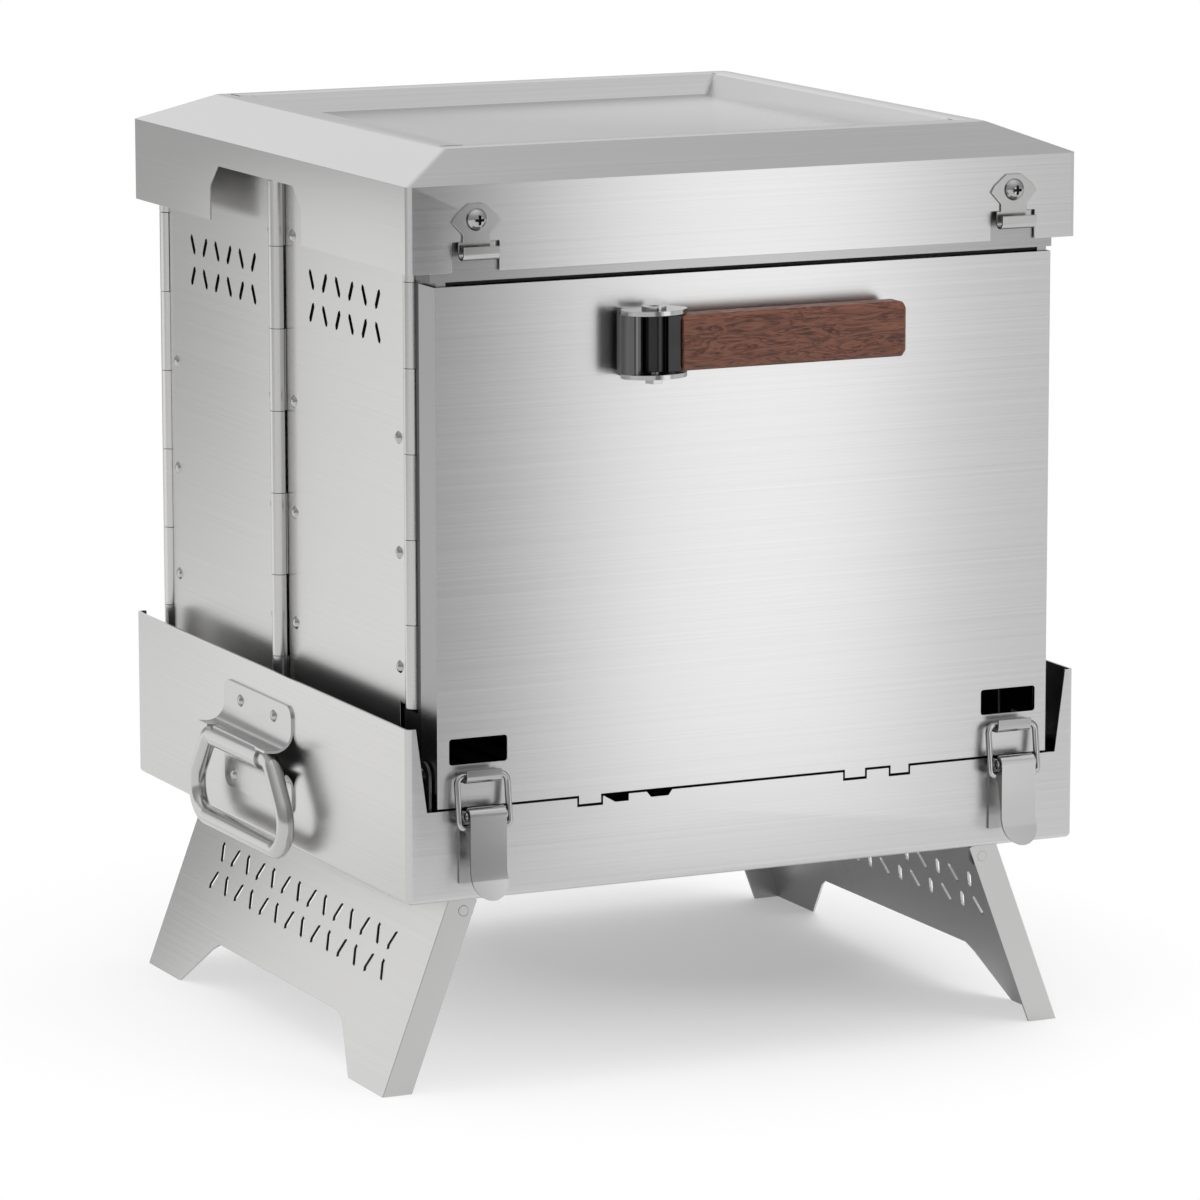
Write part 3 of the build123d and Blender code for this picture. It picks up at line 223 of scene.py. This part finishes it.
# Lines gives the noise scale along X, Y and Z: the brushing runs along the axis with the smallest number,
# and equal numbers leave the sheet unbrushed. The dark finishes are painted shade, for insides and rims,
# which see only shaded surroundings.
steelFinishes = {
    "frontSteel": {"lines": (1.6, 1300, 1300), "cloudScale": 7.0, "dark": (0.635, 0.635, 0.635),
                   "light": (0.69, 0.69, 0.69), "rough": 0.26, "roughSpread": 0.01,
                   "bump": 0.02, "bumpDepth": 0.00004},
    "sideSteel": {"lines": (1300, 2, 1300), "cloudScale": 4.0, "dark": (0.63, 0.625, 0.62),
                  "light": (0.67, 0.665, 0.66), "rough": 0.26, "roughSpread": 0.01},
    "flangeSteel": {"lines": (3, 3, 3), "cloudScale": 4.0, "dark": (0.60, 0.60, 0.595),
                    "light": (0.64, 0.64, 0.635), "rough": 0.27, "roughSpread": 0.01},
    # Painted shade, light, for the front face of the frame's band
    "bandSteel": {"lines": (1.6, 1300, 1300), "cloudScale": 7.0, "dark": (0.44, 0.44, 0.44),
                  "light": (0.48, 0.48, 0.48), "rough": 0.28, "roughSpread": 0.01},
    # Painted shade, near black, for the frame's other faces
    "frameSteel": {"lines": (3, 900, 900), "cloudScale": 7.0, "dark": (0.12, 0.12, 0.12),
                   "light": (0.15, 0.15, 0.15), "rough": 0.34, "roughSpread": 0.02},
    # Painted shade for the back of the door and the legs' inner faces
    "shadeSteel": {"lines": (3, 3, 3), "cloudScale": 5.0, "dark": (0.33, 0.33, 0.33),
                   "light": (0.37, 0.37, 0.37), "rough": 0.28, "roughSpread": 0.01},
    "satinSteel": {"lines": (3, 3, 3), "cloudScale": 12.0, "dark": (0.57, 0.57, 0.565),
                   "light": (0.62, 0.62, 0.615), "rough": 0.20, "roughSpread": 0.02},
    "brightSteel": {"lines": (3, 3, 3), "cloudScale": 20.0, "dark": (0.48, 0.48, 0.48),
                    "light": (0.54, 0.54, 0.54), "rough": 0.14, "roughSpread": 0.02},
    "leverSteel": {"lines": (3, 3, 3), "cloudScale": 20.0, "dark": (0.68, 0.68, 0.68),
                   "light": (0.72, 0.72, 0.72), "rough": 0.17, "roughSpread": 0.02},
    # Painted shade, near black, for the sides of small parts, panel edges and the handle's post
    "darkSteel": {"lines": (3, 3, 3), "cloudScale": 20.0, "dark": (0.13, 0.13, 0.133),
                  "light": (0.17, 0.17, 0.173), "rough": 0.16, "roughSpread": 0.02},
    # Painted shade for the parts inside the grill and others that hardly show
    "innerSteel": {"lines": (500, 6, 500), "cloudScale": 8.0, "dark": (0.15, 0.15, 0.153),
                   "light": (0.20, 0.20, 0.203), "rough": 0.42, "roughSpread": 0.03},
}
materials = {name: brushedSteel(name, finish) for name, finish in steelFinishes.items()}


def hazyMaterial(name, finish):
    # One colour whose gloss varies with a fine noise
    mat, tree, shader = newMaterial(name)
    haze = noiseNode(tree, objectCoords(tree), finish["scale"], 2.0)
    rough = rangeNode(tree, haze.outputs["Fac"], *noiseSpan, finish["roughLow"], finish["roughHigh"])
    tree.links.new(rough, shader.inputs["Roughness"])
    shader.inputs["Base Color"].default_value = (*finish["colour"], 1)
    shader.inputs["Metallic"].default_value = finish["metal"]
    return mat


# The walls of the laser-cut slots and other small gaps, painted near black as shade, and the handle's black
# block
hazyFinishes = {
    "cutEdge": {"colour": (0.012, 0.012, 0.013), "scale": 800.0, "roughLow": 0.5, "roughHigh": 0.7,
                "metal": 0.5},
    "blockPlastic": {"colour": (0.003, 0.003, 0.0034), "scale": 90.0, "roughLow": 0.17, "roughHigh": 0.24,
                     "metal": 0.0},
}
for name, finish in hazyFinishes.items():
    materials[name] = hazyMaterial(name, finish)


def makeRosewood(wood):
    # Curly figure: level lines of a stretched noise, with pores and an oiled surface
    mat, tree, shader = newMaterial("rosewood")
    coords = objectCoords(tree)
    curl = noiseNode(tree, scaledCoords(tree, coords, wood["curlScale"]), 1.0, 3.0, wood["curlRough"],
                     wood["curlTwist"])
    rings = mathNode(tree, "PINGPONG", mathNode(tree, "MULTIPLY", curl.outputs["Fac"], wood["rings"]), 0.5)
    streaks = noiseNode(tree, scaledCoords(tree, coords, wood["streakScale"]), 1.0, 4.0,
                        wood["streakRough"], wood["streakTwist"])
    blend = mathNode(tree, "ADD", mathNode(tree, "MULTIPLY", rings, wood["ringWeight"]),
                     mathNode(tree, "MULTIPLY", streaks.outputs["Fac"], wood["streakWeight"]))
    ramp = tree.nodes.new("ShaderNodeValToRGB")
    stops = ramp.color_ramp.elements
    stops[0].position, stops[0].color = wood["darkAt"], (*wood["dark"], 1)
    stops[1].position, stops[1].color = wood["lightAt"], (*wood["light"], 1)
    stops.new(wood["middleAt"]).color = (*wood["middle"], 1)
    tree.links.new(blend, ramp.inputs["Fac"])
    pores = noiseNode(tree, scaledCoords(tree, coords, wood["poreScale"]), 1.0, 2.0)
    poreMask = rangeNode(tree, pores.outputs["Fac"], *wood["poreSpan"], 0.0, wood["poreDepth"])
    colour = mixColours(tree, poreMask, ramp.outputs["Color"], wood["pore"])
    tree.links.new(colour, shader.inputs["Base Color"])
    tree.links.new(rangeNode(tree, blend, *wood["roughSpan"], wood["darkRough"], wood["lightRough"]),
                   shader.inputs["Roughness"])
    bumpNode(tree, poreMask, shader, wood["bump"], wood["bumpDepth"]).invert = True
    return mat


rosewood = {"curlScale": (30, 120, 190), "curlRough": 0.55, "curlTwist": 1.3, "rings": 6.0,
            "streakScale": (22, 420, 520), "streakRough": 0.6, "streakTwist": 0.5,
            "ringWeight": 1.1, "streakWeight": 0.6,
            "dark": (0.050, 0.012, 0.005), "middle": (0.118, 0.034, 0.016), "light": (0.170, 0.056, 0.028),
            "darkAt": 0.28, "middleAt": 0.50, "lightAt": 0.85,
            "pore": (0.022, 0.006, 0.003), "poreScale": (120, 900, 900), "poreSpan": (0.56, 0.66),
            "poreDepth": 0.6, "bump": 0.25, "bumpDepth": 0.0002,
            "roughSpan": (0.3, 0.8), "darkRough": 0.48, "lightRough": 0.36}
materials["rosewood"] = makeRosewood(rosewood)
print("materials made:", len(materials))

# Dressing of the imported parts

# The two slot rows: how high they lie on the walls, and how far down the sloping legs, from the legs' tops
slotRows = {"wallLow": 0.3600, "wallHigh": 0.3900, "legLow": 0.026, "legHigh": 0.058, "legTopX": 0.1493,
            "legTopZ": 0.0985, "legSplay": 20.6, "legMiddleY": 0.012, "legEnd": 0.140}

# The cross recess in the heads of the two lid screws, which gets painted shade
screwCross = {"x": 0.1445, "z": 0.428, "reach": 0.0026, "front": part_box("lid_screws")[0][1] + 0.0007}

# Shares of a face's normal along an axis: above shellSide or flat the face looks along that axis, and
# below the others it looks away from it, as slot walls and rims do
turned = {"slotWall": 0.4, "shellSide": 0.85, "flat": 0.7, "rivetRim": 0.6, "smallRim": 0.5}


# Faces that get near-black painted shade: the walls of the slots and the cross recess of the lid screws
def isSlotWall(node, centre, normal):
    side = 1 if centre.x > 0 else -1
    if node == "left_leg":
        tilt = radians(slotRows["legSplay"])
        outward = Vector((side * cos(tilt), 0, sin(tilt)))
        downward = Vector((side * sin(tilt), 0, -cos(tilt)))
        down = (centre - Vector((side * slotRows["legTopX"], centre.y, slotRows["legTopZ"]))).dot(downward)
        along = abs(centre.y - slotRows["legMiddleY"])
        inRows = slotRows["legLow"] < down < slotRows["legHigh"] and along < slotRows["legEnd"]
        return inRows and abs(normal.dot(outward)) < turned["slotWall"]
    if node == "lid_screws":
        offAxis = Vector((abs(centre.x) - screwCross["x"], centre.z - screwCross["z"])).length
        return offAxis < screwCross["reach"] and centre.y > screwCross["front"]
    if node.endswith("_panel") and node != "door_panel":
        inRows = slotRows["wallLow"] < centre.z < slotRows["wallHigh"]
        return inRows and abs(normal.x) < turned["slotWall"]
    return False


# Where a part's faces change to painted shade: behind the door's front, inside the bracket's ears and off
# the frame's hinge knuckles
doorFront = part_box("door_panel")[0][1] + 0.0015
bracketLow, bracketHigh = (corner[2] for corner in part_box("handle_bracket"))
earSheet = 0.0024
pinsLow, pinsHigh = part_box("front_hinge_pins")
knuckleReach = 0.0046
rimmed = ("lid_catches", "latch_plates", "lid_screws", "left_latch_lever", "right_latch_lever",
          "left_latch_bail", "right_latch_bail", "door_hooks")


def isKnuckle(centre):
    aside = abs(centre.x) - (pinsHigh[0] - pinsLow[0]) / 2
    return Vector((aside, centre.y - (pinsLow[1] + pinsHigh[1]) / 2)).length < knuckleReach


def finishOf(node, matName, centre, normal):
    # Faces brushed another way have a finish of their own, and cut edges, insides and shaded sides get
    # painted shade
    if isSlotWall(node, centre, normal):
        return "cutEdge"
    if node in ("base_tray", "lid_shell") and abs(normal.x) > turned["shellSide"]:
        return "sideSteel"
    # Painted shade on the back of the door
    if node == "door_panel" and centre.y > doorFront:
        return "shadeSteel"
    # The frame's band gets light painted shade and its other faces near-black painted shade, except the
    # hinge knuckles
    if node == "front_frame":
        if isKnuckle(centre):
            return matName
        return "bandSteel" if normal.y < -turned["flat"] else "frameSteel"
    if node.endswith("_leg"):
        if abs(normal.y) > turned["flat"]:
            return "flangeSteel"
        # Painted shade on the legs' inner faces
        return "shadeSteel" if normal.x * centre.x < 0 else matName
    # Painted shade on the front and back edges of the side panels
    sideWall = node.endswith("_panel") and node not in ("back_panel", "door_panel")
    if sideWall and abs(normal.y) > turned["flat"]:
        return "darkSteel"
    # Painted shade on the bracket's post and the insides of its ears
    if node == "handle_bracket" and bracketLow + earSheet < centre.z < bracketHigh - earSheet:
        return "darkSteel"
    # Painted shade on the sides of the rivet domes
    if node.endswith("_rivets") and abs(normal.x) < turned["rivetRim"]:
        return "darkSteel"
    # Painted shade on the sides of the small latch parts, whose fronts and tops stay bright
    if node in rimmed and abs(normal.y) < turned["smallRim"] and normal.z < turned["smallRim"]:
        return "darkSteel"
    return matName


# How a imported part's loose triangles are joined into faces, and where its edges count as sharp
joining = {"merge": 0.000004, "flatAngle": 0.6, "sharpAngle": 32, "bevelSegments": 2}


def dressCopy(node, matName, bevelWidth):
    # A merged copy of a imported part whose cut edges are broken, as a file or tumbler leaves them
    source = frame["nodes"][node]
    mesh = source.data.copy()
    mesh.name = "dressed_" + node
    work = bmesh.new()
    work.from_mesh(mesh)
    bmesh.ops.remove_doubles(work, verts=work.verts, dist=joining["merge"])
    bmesh.ops.dissolve_limit(work, angle_limit=radians(joining["flatAngle"]), verts=work.verts,
                             edges=work.edges)
    work.to_mesh(mesh)
    work.free()
    sharp = radians(joining["sharpAngle"])
    mesh.polygons.foreach_set("use_smooth", [True] * len(mesh.polygons))
    mesh.set_sharp_from_angle(angle=sharp)
    obj = addObject("dressed_" + node, mesh)
    if bevelWidth > 0:
        soft = obj.modifiers.new("brokenEdges", "BEVEL")
        soft.width = bevelWidth
        soft.segments = joining["bevelSegments"]
        soft.limit_method = "ANGLE"
        soft.angle_limit = sharp
        soft.harden_normals = True
    finishes = [finishOf(node, matName, face.center, face.normal) for face in mesh.polygons]
    used = sorted(set(finishes))
    paint(obj, *[materials[name] for name in used])
    for face, name in zip(mesh.polygons, finishes):
        face.material_index = used.index(name)
    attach(obj, source["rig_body"])
    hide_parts(node)


# Each part's main finish and how wide its broken edges are, 0 where they stay sharp
dressed = {
    "base_tray": ("frontSteel", 0.0004), "lid_shell": ("frontSteel", 0.0005),
    "door_panel": ("frontSteel", 0.0004), "front_frame": ("sideSteel", 0.0002),
    "left_leg": ("sideSteel", 0.0003), "right_leg": ("sideSteel", 0.0003),
    "left_front_panel": ("sideSteel", 0.0002), "left_rear_panel": ("sideSteel", 0.0002),
    "right_front_panel": ("sideSteel", 0.0002), "right_rear_panel": ("sideSteel", 0.0002),
    "back_panel": ("sideSteel", 0.0002), "left_front_leaves": ("sideSteel", 0.0002),
    "left_rear_leaves": ("sideSteel", 0.0002), "right_front_leaves": ("sideSteel", 0.0002),
    "right_rear_leaves": ("sideSteel", 0.0002), "latch_plates": ("satinSteel", 0.0002),
    "left_latch_lever": ("leverSteel", 0.0003), "right_latch_lever": ("leverSteel", 0.0003),
    "left_latch_bail": ("brightSteel", 0), "right_latch_bail": ("brightSteel", 0),
    "left_carry_bracket": ("satinSteel", 0.0003), "right_carry_bracket": ("satinSteel", 0.0003),
    "left_carry_ring": ("satinSteel", 0), "right_carry_ring": ("satinSteel", 0),
    "lid_catches": ("satinSteel", 0.0003), "door_hooks": ("brightSteel", 0.0002),
    "handle_bracket": ("brightSteel", 0.0004), "handle_block": ("blockPlastic", 0.0006),
    "handle_pin": ("brightSteel", 0.0002), "handle_grip": ("rosewood", 0.0006),
    # The charcoal tray and the wall ledges get painted shade
    "charcoal_tray": ("innerSteel", 0.0002), "wall_ledges": ("innerSteel", 0.0002),
    "left_front_rivets": ("brightSteel", 0), "left_rear_rivets": ("brightSteel", 0),
    "right_front_rivets": ("brightSteel", 0), "right_rear_rivets": ("brightSteel", 0),
    "base_rivets": ("brightSteel", 0), "lid_screws": ("brightSteel", 0.0001),
}
for node, (matName, width) in dressed.items():
    dressCopy(node, matName, width)
print("parts dressed:", len(dressed))

# The parts that hardly show keep their imported shape; all but the leg pins get painted shade
plain = {"door_pivot_brackets": "innerSteel", "fire_grate": "innerSteel", "leg_ears": "innerSteel",
         "cooking_grate": "innerSteel", "leg_pins": "flangeSteel"}
for node in frame["nodes"]:
    if node not in dressed:
        paint(frame["nodes"][node], materials[plain.get(node, "brightSteel")])

# Relief slits where the pressed recess of the lid meets its corners, each from one point to another, drawn
# as thin strips of near-black painted shade set into the lid's top
lidSlits = {"width": 0.0011, "depth": 0.0003, "proud": 0.00003, "roundShare": 0.45,
            "places": [((-0.1440, -0.1230), (-0.1320, -0.1230)), ((-0.1390, 0.1430), (-0.1390, 0.1560)),
                       ((0.1345, -0.1210), (0.1345, -0.1160)), ((0.1345, 0.1440), (0.1345, 0.1490))]}


# Small pieces painted near black as shade
def addSmallPiece(name, work, body):
    obj = addObject(name, meshFrom(work, name))
    paint(obj, materials["cutEdge"])
    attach(obj, body)


def isUpright(edge):
    return abs((edge.verts[0].co - edge.verts[1].co).normalized().z) > 0.9


def makeLidSlits():
    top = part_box("lid_shell")[1][2]
    work = bmesh.new()
    for start, end in lidSlits["places"]:
        a, b = Vector((*start, top)), Vector((*end, top))
        along = b - a
        size = Matrix.Diagonal((along.length, lidSlits["width"], lidSlits["depth"], 1))
        turn = along.to_track_quat("X", "Z").to_matrix().to_4x4()
        middle = (a + b) / 2 + Vector((0, 0, lidSlits["proud"] - lidSlits["depth"] / 2))
        made = bmesh.ops.create_cube(work, size=1.0, matrix=Matrix.Translation(middle) @ turn @ size)
        upright = {edge for vert in made["verts"] for edge in vert.link_edges if isUpright(edge)}
        bmesh.ops.bevel(work, geom=list(upright), offset=lidSlits["width"] * lidSlits["roundShare"],
                        offset_type="OFFSET", affect="EDGES", segments=3, profile=0.5, material=-1)
    addSmallPiece("lidSlits", work, "lid")


makeLidSlits()
print("lid slits made")

# The folded lip behind the lower edge of the front band, which closes the view in above the door, painted
# near black as the shade in that gap
bandLip = {"half": 0.1600, "back": 0.0030, "sheet": 0.0008, "clear": 0.0003, "rise": 0.0030, "soft": 0.0002}


def makeBandLip():
    doorLow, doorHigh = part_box("door_panel")
    front = doorLow[1] + bandLip["back"]
    low = doorHigh[2] + bandLip["clear"]
    size = Matrix.Diagonal((2 * bandLip["half"], bandLip["sheet"], bandLip["rise"], 1))
    middle = Matrix.Translation((0, front + bandLip["sheet"] / 2, low + bandLip["rise"] / 2))
    work = bmesh.new()
    bmesh.ops.create_cube(work, size=1.0, matrix=middle @ size)
    bmesh.ops.bevel(work, geom=list(work.edges), offset=bandLip["soft"], offset_type="OFFSET",
                    affect="EDGES", segments=2, profile=0.5, material=-1)
    addSmallPiece("bandLip", work, frame["nodes"]["front_frame"]["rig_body"])


makeBandLip()
print("band lip made")

# Studio


def addStageGrid(name, mat, size, matrix=Matrix()):
    work = bmesh.new()
    bmesh.ops.create_grid(work, x_segments=1, y_segments=1, size=size / 2, matrix=matrix)
    obj = addObject(name, meshFrom(work, name))
    paint(obj, mat)
    return obj


# Lift is the share of plain white in the floor for the camera, and mirror that for metal, each from the
# middle of the grill's shadow outwards. Tone is how bright metal sees the floor, from in front and right
# of the grill to behind and left of it, and farTone is the share of that which is left further away.
floor = {"size": 16.0, "colour": (0.93, 0.93, 0.93), "shadowHeart": (0.10, 0.10, 0),
         "liftRadius": (0.10, 0.50), "lift": (0.30, 1.0),
         "mirrorRadius": (0.12, 0.45), "mirror": (0.2, 0.95),
         "toneDepth": (-0.9, 1.3), "tone": (0.80, 0.88), "farDepth": (1.4, 3.2), "farTone": 0.55}


def makeFloorMaterial():
    # Diffuse paper takes the light and the shadow, and plain white is mixed in for the camera and for metal
    mat, tree, out = blankMaterial("studioPaper")
    paper = tree.nodes.new("ShaderNodeBsdfDiffuse")
    paper.inputs["Color"].default_value = (*floor["colour"], 1)
    white = tree.nodes.new("ShaderNodeEmission")
    mix = tree.nodes.new("ShaderNodeMixShader")
    path = tree.nodes.new("ShaderNodeLightPath")
    coords = objectCoords(tree)
    split = tree.nodes.new("ShaderNodeSeparateXYZ")
    tree.links.new(coords, split.inputs[0])
    reach = tree.nodes.new("ShaderNodeVectorMath")
    reach.operation = "DISTANCE"
    reach.inputs[1].default_value = floor["shadowHeart"]
    tree.links.new(coords, reach.inputs[0])
    lift = rangeNode(tree, reach.outputs["Value"], *floor["liftRadius"], *floor["lift"])
    mirror = rangeNode(tree, reach.outputs["Value"], *floor["mirrorRadius"], *floor["mirror"])
    share = mathNode(tree, "MAXIMUM", mathNode(tree, "MULTIPLY", path.outputs["Is Camera Ray"], lift),
                     mathNode(tree, "MULTIPLY", path.outputs["Is Glossy Ray"], mirror))
    depth = mathNode(tree, "SUBTRACT", split.outputs["Y"], split.outputs["X"])
    tone = mathNode(tree, "MULTIPLY", rangeNode(tree, depth, *floor["toneDepth"], *floor["tone"]),
                    rangeNode(tree, depth, *floor["farDepth"], 1.0, floor["farTone"]))
    dim = mathNode(tree, "MULTIPLY", path.outputs["Is Glossy Ray"], mathNode(tree, "SUBTRACT", 1.0, tone))
    tree.links.new(mathNode(tree, "SUBTRACT", 1.0, dim), white.inputs["Strength"])
    tree.links.new(share, mix.inputs["Fac"])
    tree.links.new(paper.outputs["BSDF"], mix.inputs[1])
    tree.links.new(white.outputs["Emission"], mix.inputs[2])
    tree.links.new(mix.outputs["Shader"], out.inputs["Surface"])
    return mat


addStageGrid("studioFloor", makeFloorMaterial(), floor["size"])

# Upright cards that only metal sees, turned to the grill: centre, width, height and brightness
cards = {
    "frontCard": {"centre": (0.245, -0.66, 0.27), "width": 0.18, "height": 0.64, "strength": 1.45},
    "leftFlag": {"centre": (0.005, -0.66, 0.45), "width": 0.13, "height": 0.24, "strength": 0.02},
    "leftCard": {"centre": (0.03, -0.66, 0.16), "width": 0.12, "height": 0.34, "strength": 0.28},
    "rightCard": {"centre": (0.43, -0.66, 0.27), "width": 0.10, "height": 0.64, "strength": 0.70},
    "sideCard": {"centre": (-0.44, 0.33, 0.15), "width": 0.32, "height": 0.46, "strength": 1.02},
}


def addCard(name, card):
    mat, tree, out = blankMaterial(name + "Light")
    glow = tree.nodes.new("ShaderNodeEmission")
    glow.inputs["Strength"].default_value = card["strength"]
    tree.links.new(glow.outputs["Emission"], out.inputs["Surface"])
    centre = Vector(card["centre"])
    facing = Vector((-centre.x, -centre.y, 0)).to_track_quat("Z", "Y").to_matrix().to_4x4()
    size = Matrix.Diagonal((card["width"], card["height"], 1, 1))
    obj = addStageGrid(name, mat, 1.0, Matrix.Translation(centre) @ facing @ size)
    obj.visible_camera = False
    obj.visible_diffuse = False
    obj.visible_shadow = False
    obj.visible_transmission = False


for name, card in cards.items():
    addCard(name, card)

# Brightness of the room: one tone in front and one behind, more from overhead, and a bright wall behind
room = {"front": 0.48, "behind": 0.46, "turnY": (-0.5, 0.1), "overhead": 0.68, "overheadPower": 3.0,
        "wall": 0.70, "wallWay": (0.28, 0.88, 0.38), "wallSpan": (0.93, 0.985)}


def makeWorld():
    world = bpy.data.worlds.new("studioRoom")
    bpy.context.scene.world = world
    world.use_nodes = True
    tree = world.node_tree
    tree.nodes.clear()
    out = tree.nodes.new("ShaderNodeOutputWorld")
    path = tree.nodes.new("ShaderNodeLightPath")
    direction = tree.nodes.new("ShaderNodeTexCoord").outputs["Generated"]
    split = tree.nodes.new("ShaderNodeSeparateXYZ")
    tree.links.new(direction, split.inputs[0])
    toWall = tree.nodes.new("ShaderNodeVectorMath")
    toWall.operation = "DOT_PRODUCT"
    toWall.inputs[1].default_value = room["wallWay"]
    tree.links.new(direction, toWall.inputs[0])
    wall = rangeNode(tree, toWall.outputs["Value"], *room["wallSpan"], 0.0, room["wall"], True)
    height = mathNode(tree, "MAXIMUM", split.outputs["Z"], 0.0)
    overhead = mathNode(tree, "MULTIPLY", mathNode(tree, "POWER", height, room["overheadPower"]),
                        room["overhead"])
    even = rangeNode(tree, split.outputs["Y"], *room["turnY"], room["front"], room["behind"], True)
    strength = mathNode(tree, "ADD", mathNode(tree, "ADD", wall, overhead), even)
    paper = tree.nodes.new("ShaderNodeBackground")
    tree.links.new(strength, paper.inputs["Strength"])
    white = tree.nodes.new("ShaderNodeBackground")
    white.inputs["Color"].default_value = (1, 1, 1, 1)
    white.inputs["Strength"].default_value = 1.0
    mix = tree.nodes.new("ShaderNodeMixShader")
    tree.links.new(path.outputs["Is Camera Ray"], mix.inputs["Fac"])
    tree.links.new(paper.outputs["Background"], mix.inputs[1])
    tree.links.new(white.outputs["Background"], mix.inputs[2])
    tree.links.new(mix.outputs["Shader"], out.inputs["Surface"])


makeWorld()

# Soft lights, which metal doesn't mirror
lights = {
    "topSoftbox": {"size": (2.6, 2.6), "watts": 46, "place": (0.1, -0.1, 2.6), "target": (0, 0, 0.2)},
    "frontRightSoftbox": {"size": (1.6, 2.0), "watts": 22, "place": (1.9, -2.3, 1.3),
                          "target": (0, 0, 0.25)},
    "leftStrip": {"size": (0.5, 2.0), "watts": 8, "place": (-2.4, 0.2, 1.0), "target": (0, 0, 0.25)},
}


def addLight(name, lamp):
    data = bpy.data.lights.new(name, "AREA")
    data.shape = "RECTANGLE"
    data.size, data.size_y = lamp["size"]
    data.energy = lamp["watts"]
    obj = addObject(name, data)
    place, target = Vector(lamp["place"]), Vector(lamp["target"])
    obj.location = place
    obj.rotation_euler = (target - place).to_track_quat("-Z", "Y").to_euler()
    obj.visible_glossy = False


for name, lamp in lights.items():
    addLight(name, lamp)

# Camera fitted to the photo: angles in degrees, distances in metres, the sensor in millimetres, and the
# focal length in pixels of an image that is photoWidth wide
lens = {"azimuth": 25.18, "elevation": 10.16, "roll": -0.07, "distance": 3.272,
        "target": (0.00308, 0.01055, 0.2054), "focal": 6382, "photoWidth": 1200, "sensor": 36.0,
        "clipEnd": 50}


def addCamera():
    az, el = radians(lens["azimuth"]), radians(lens["elevation"])
    offset = Vector((-sin(az) * cos(el), -cos(az) * cos(el), sin(el))) * lens["distance"]
    data = bpy.data.cameras.new("photoCamera")
    data.lens = lens["focal"] / lens["photoWidth"] * lens["sensor"]
    data.sensor_width = lens["sensor"]
    data.clip_end = lens["clipEnd"]
    cam = addObject("photoCamera", data)
    place = Vector(lens["target"]) + offset
    turn = (-offset).to_track_quat("-Z", "Y").to_matrix().to_4x4()
    cam.matrix_world = Matrix.Translation(place) @ turn @ Matrix.Rotation(radians(lens["roll"]), 4, "Z")
    bpy.context.scene.camera = cam


addCamera()
bpy.context.scene.view_settings.view_transform = "Standard"
print("studio ready")
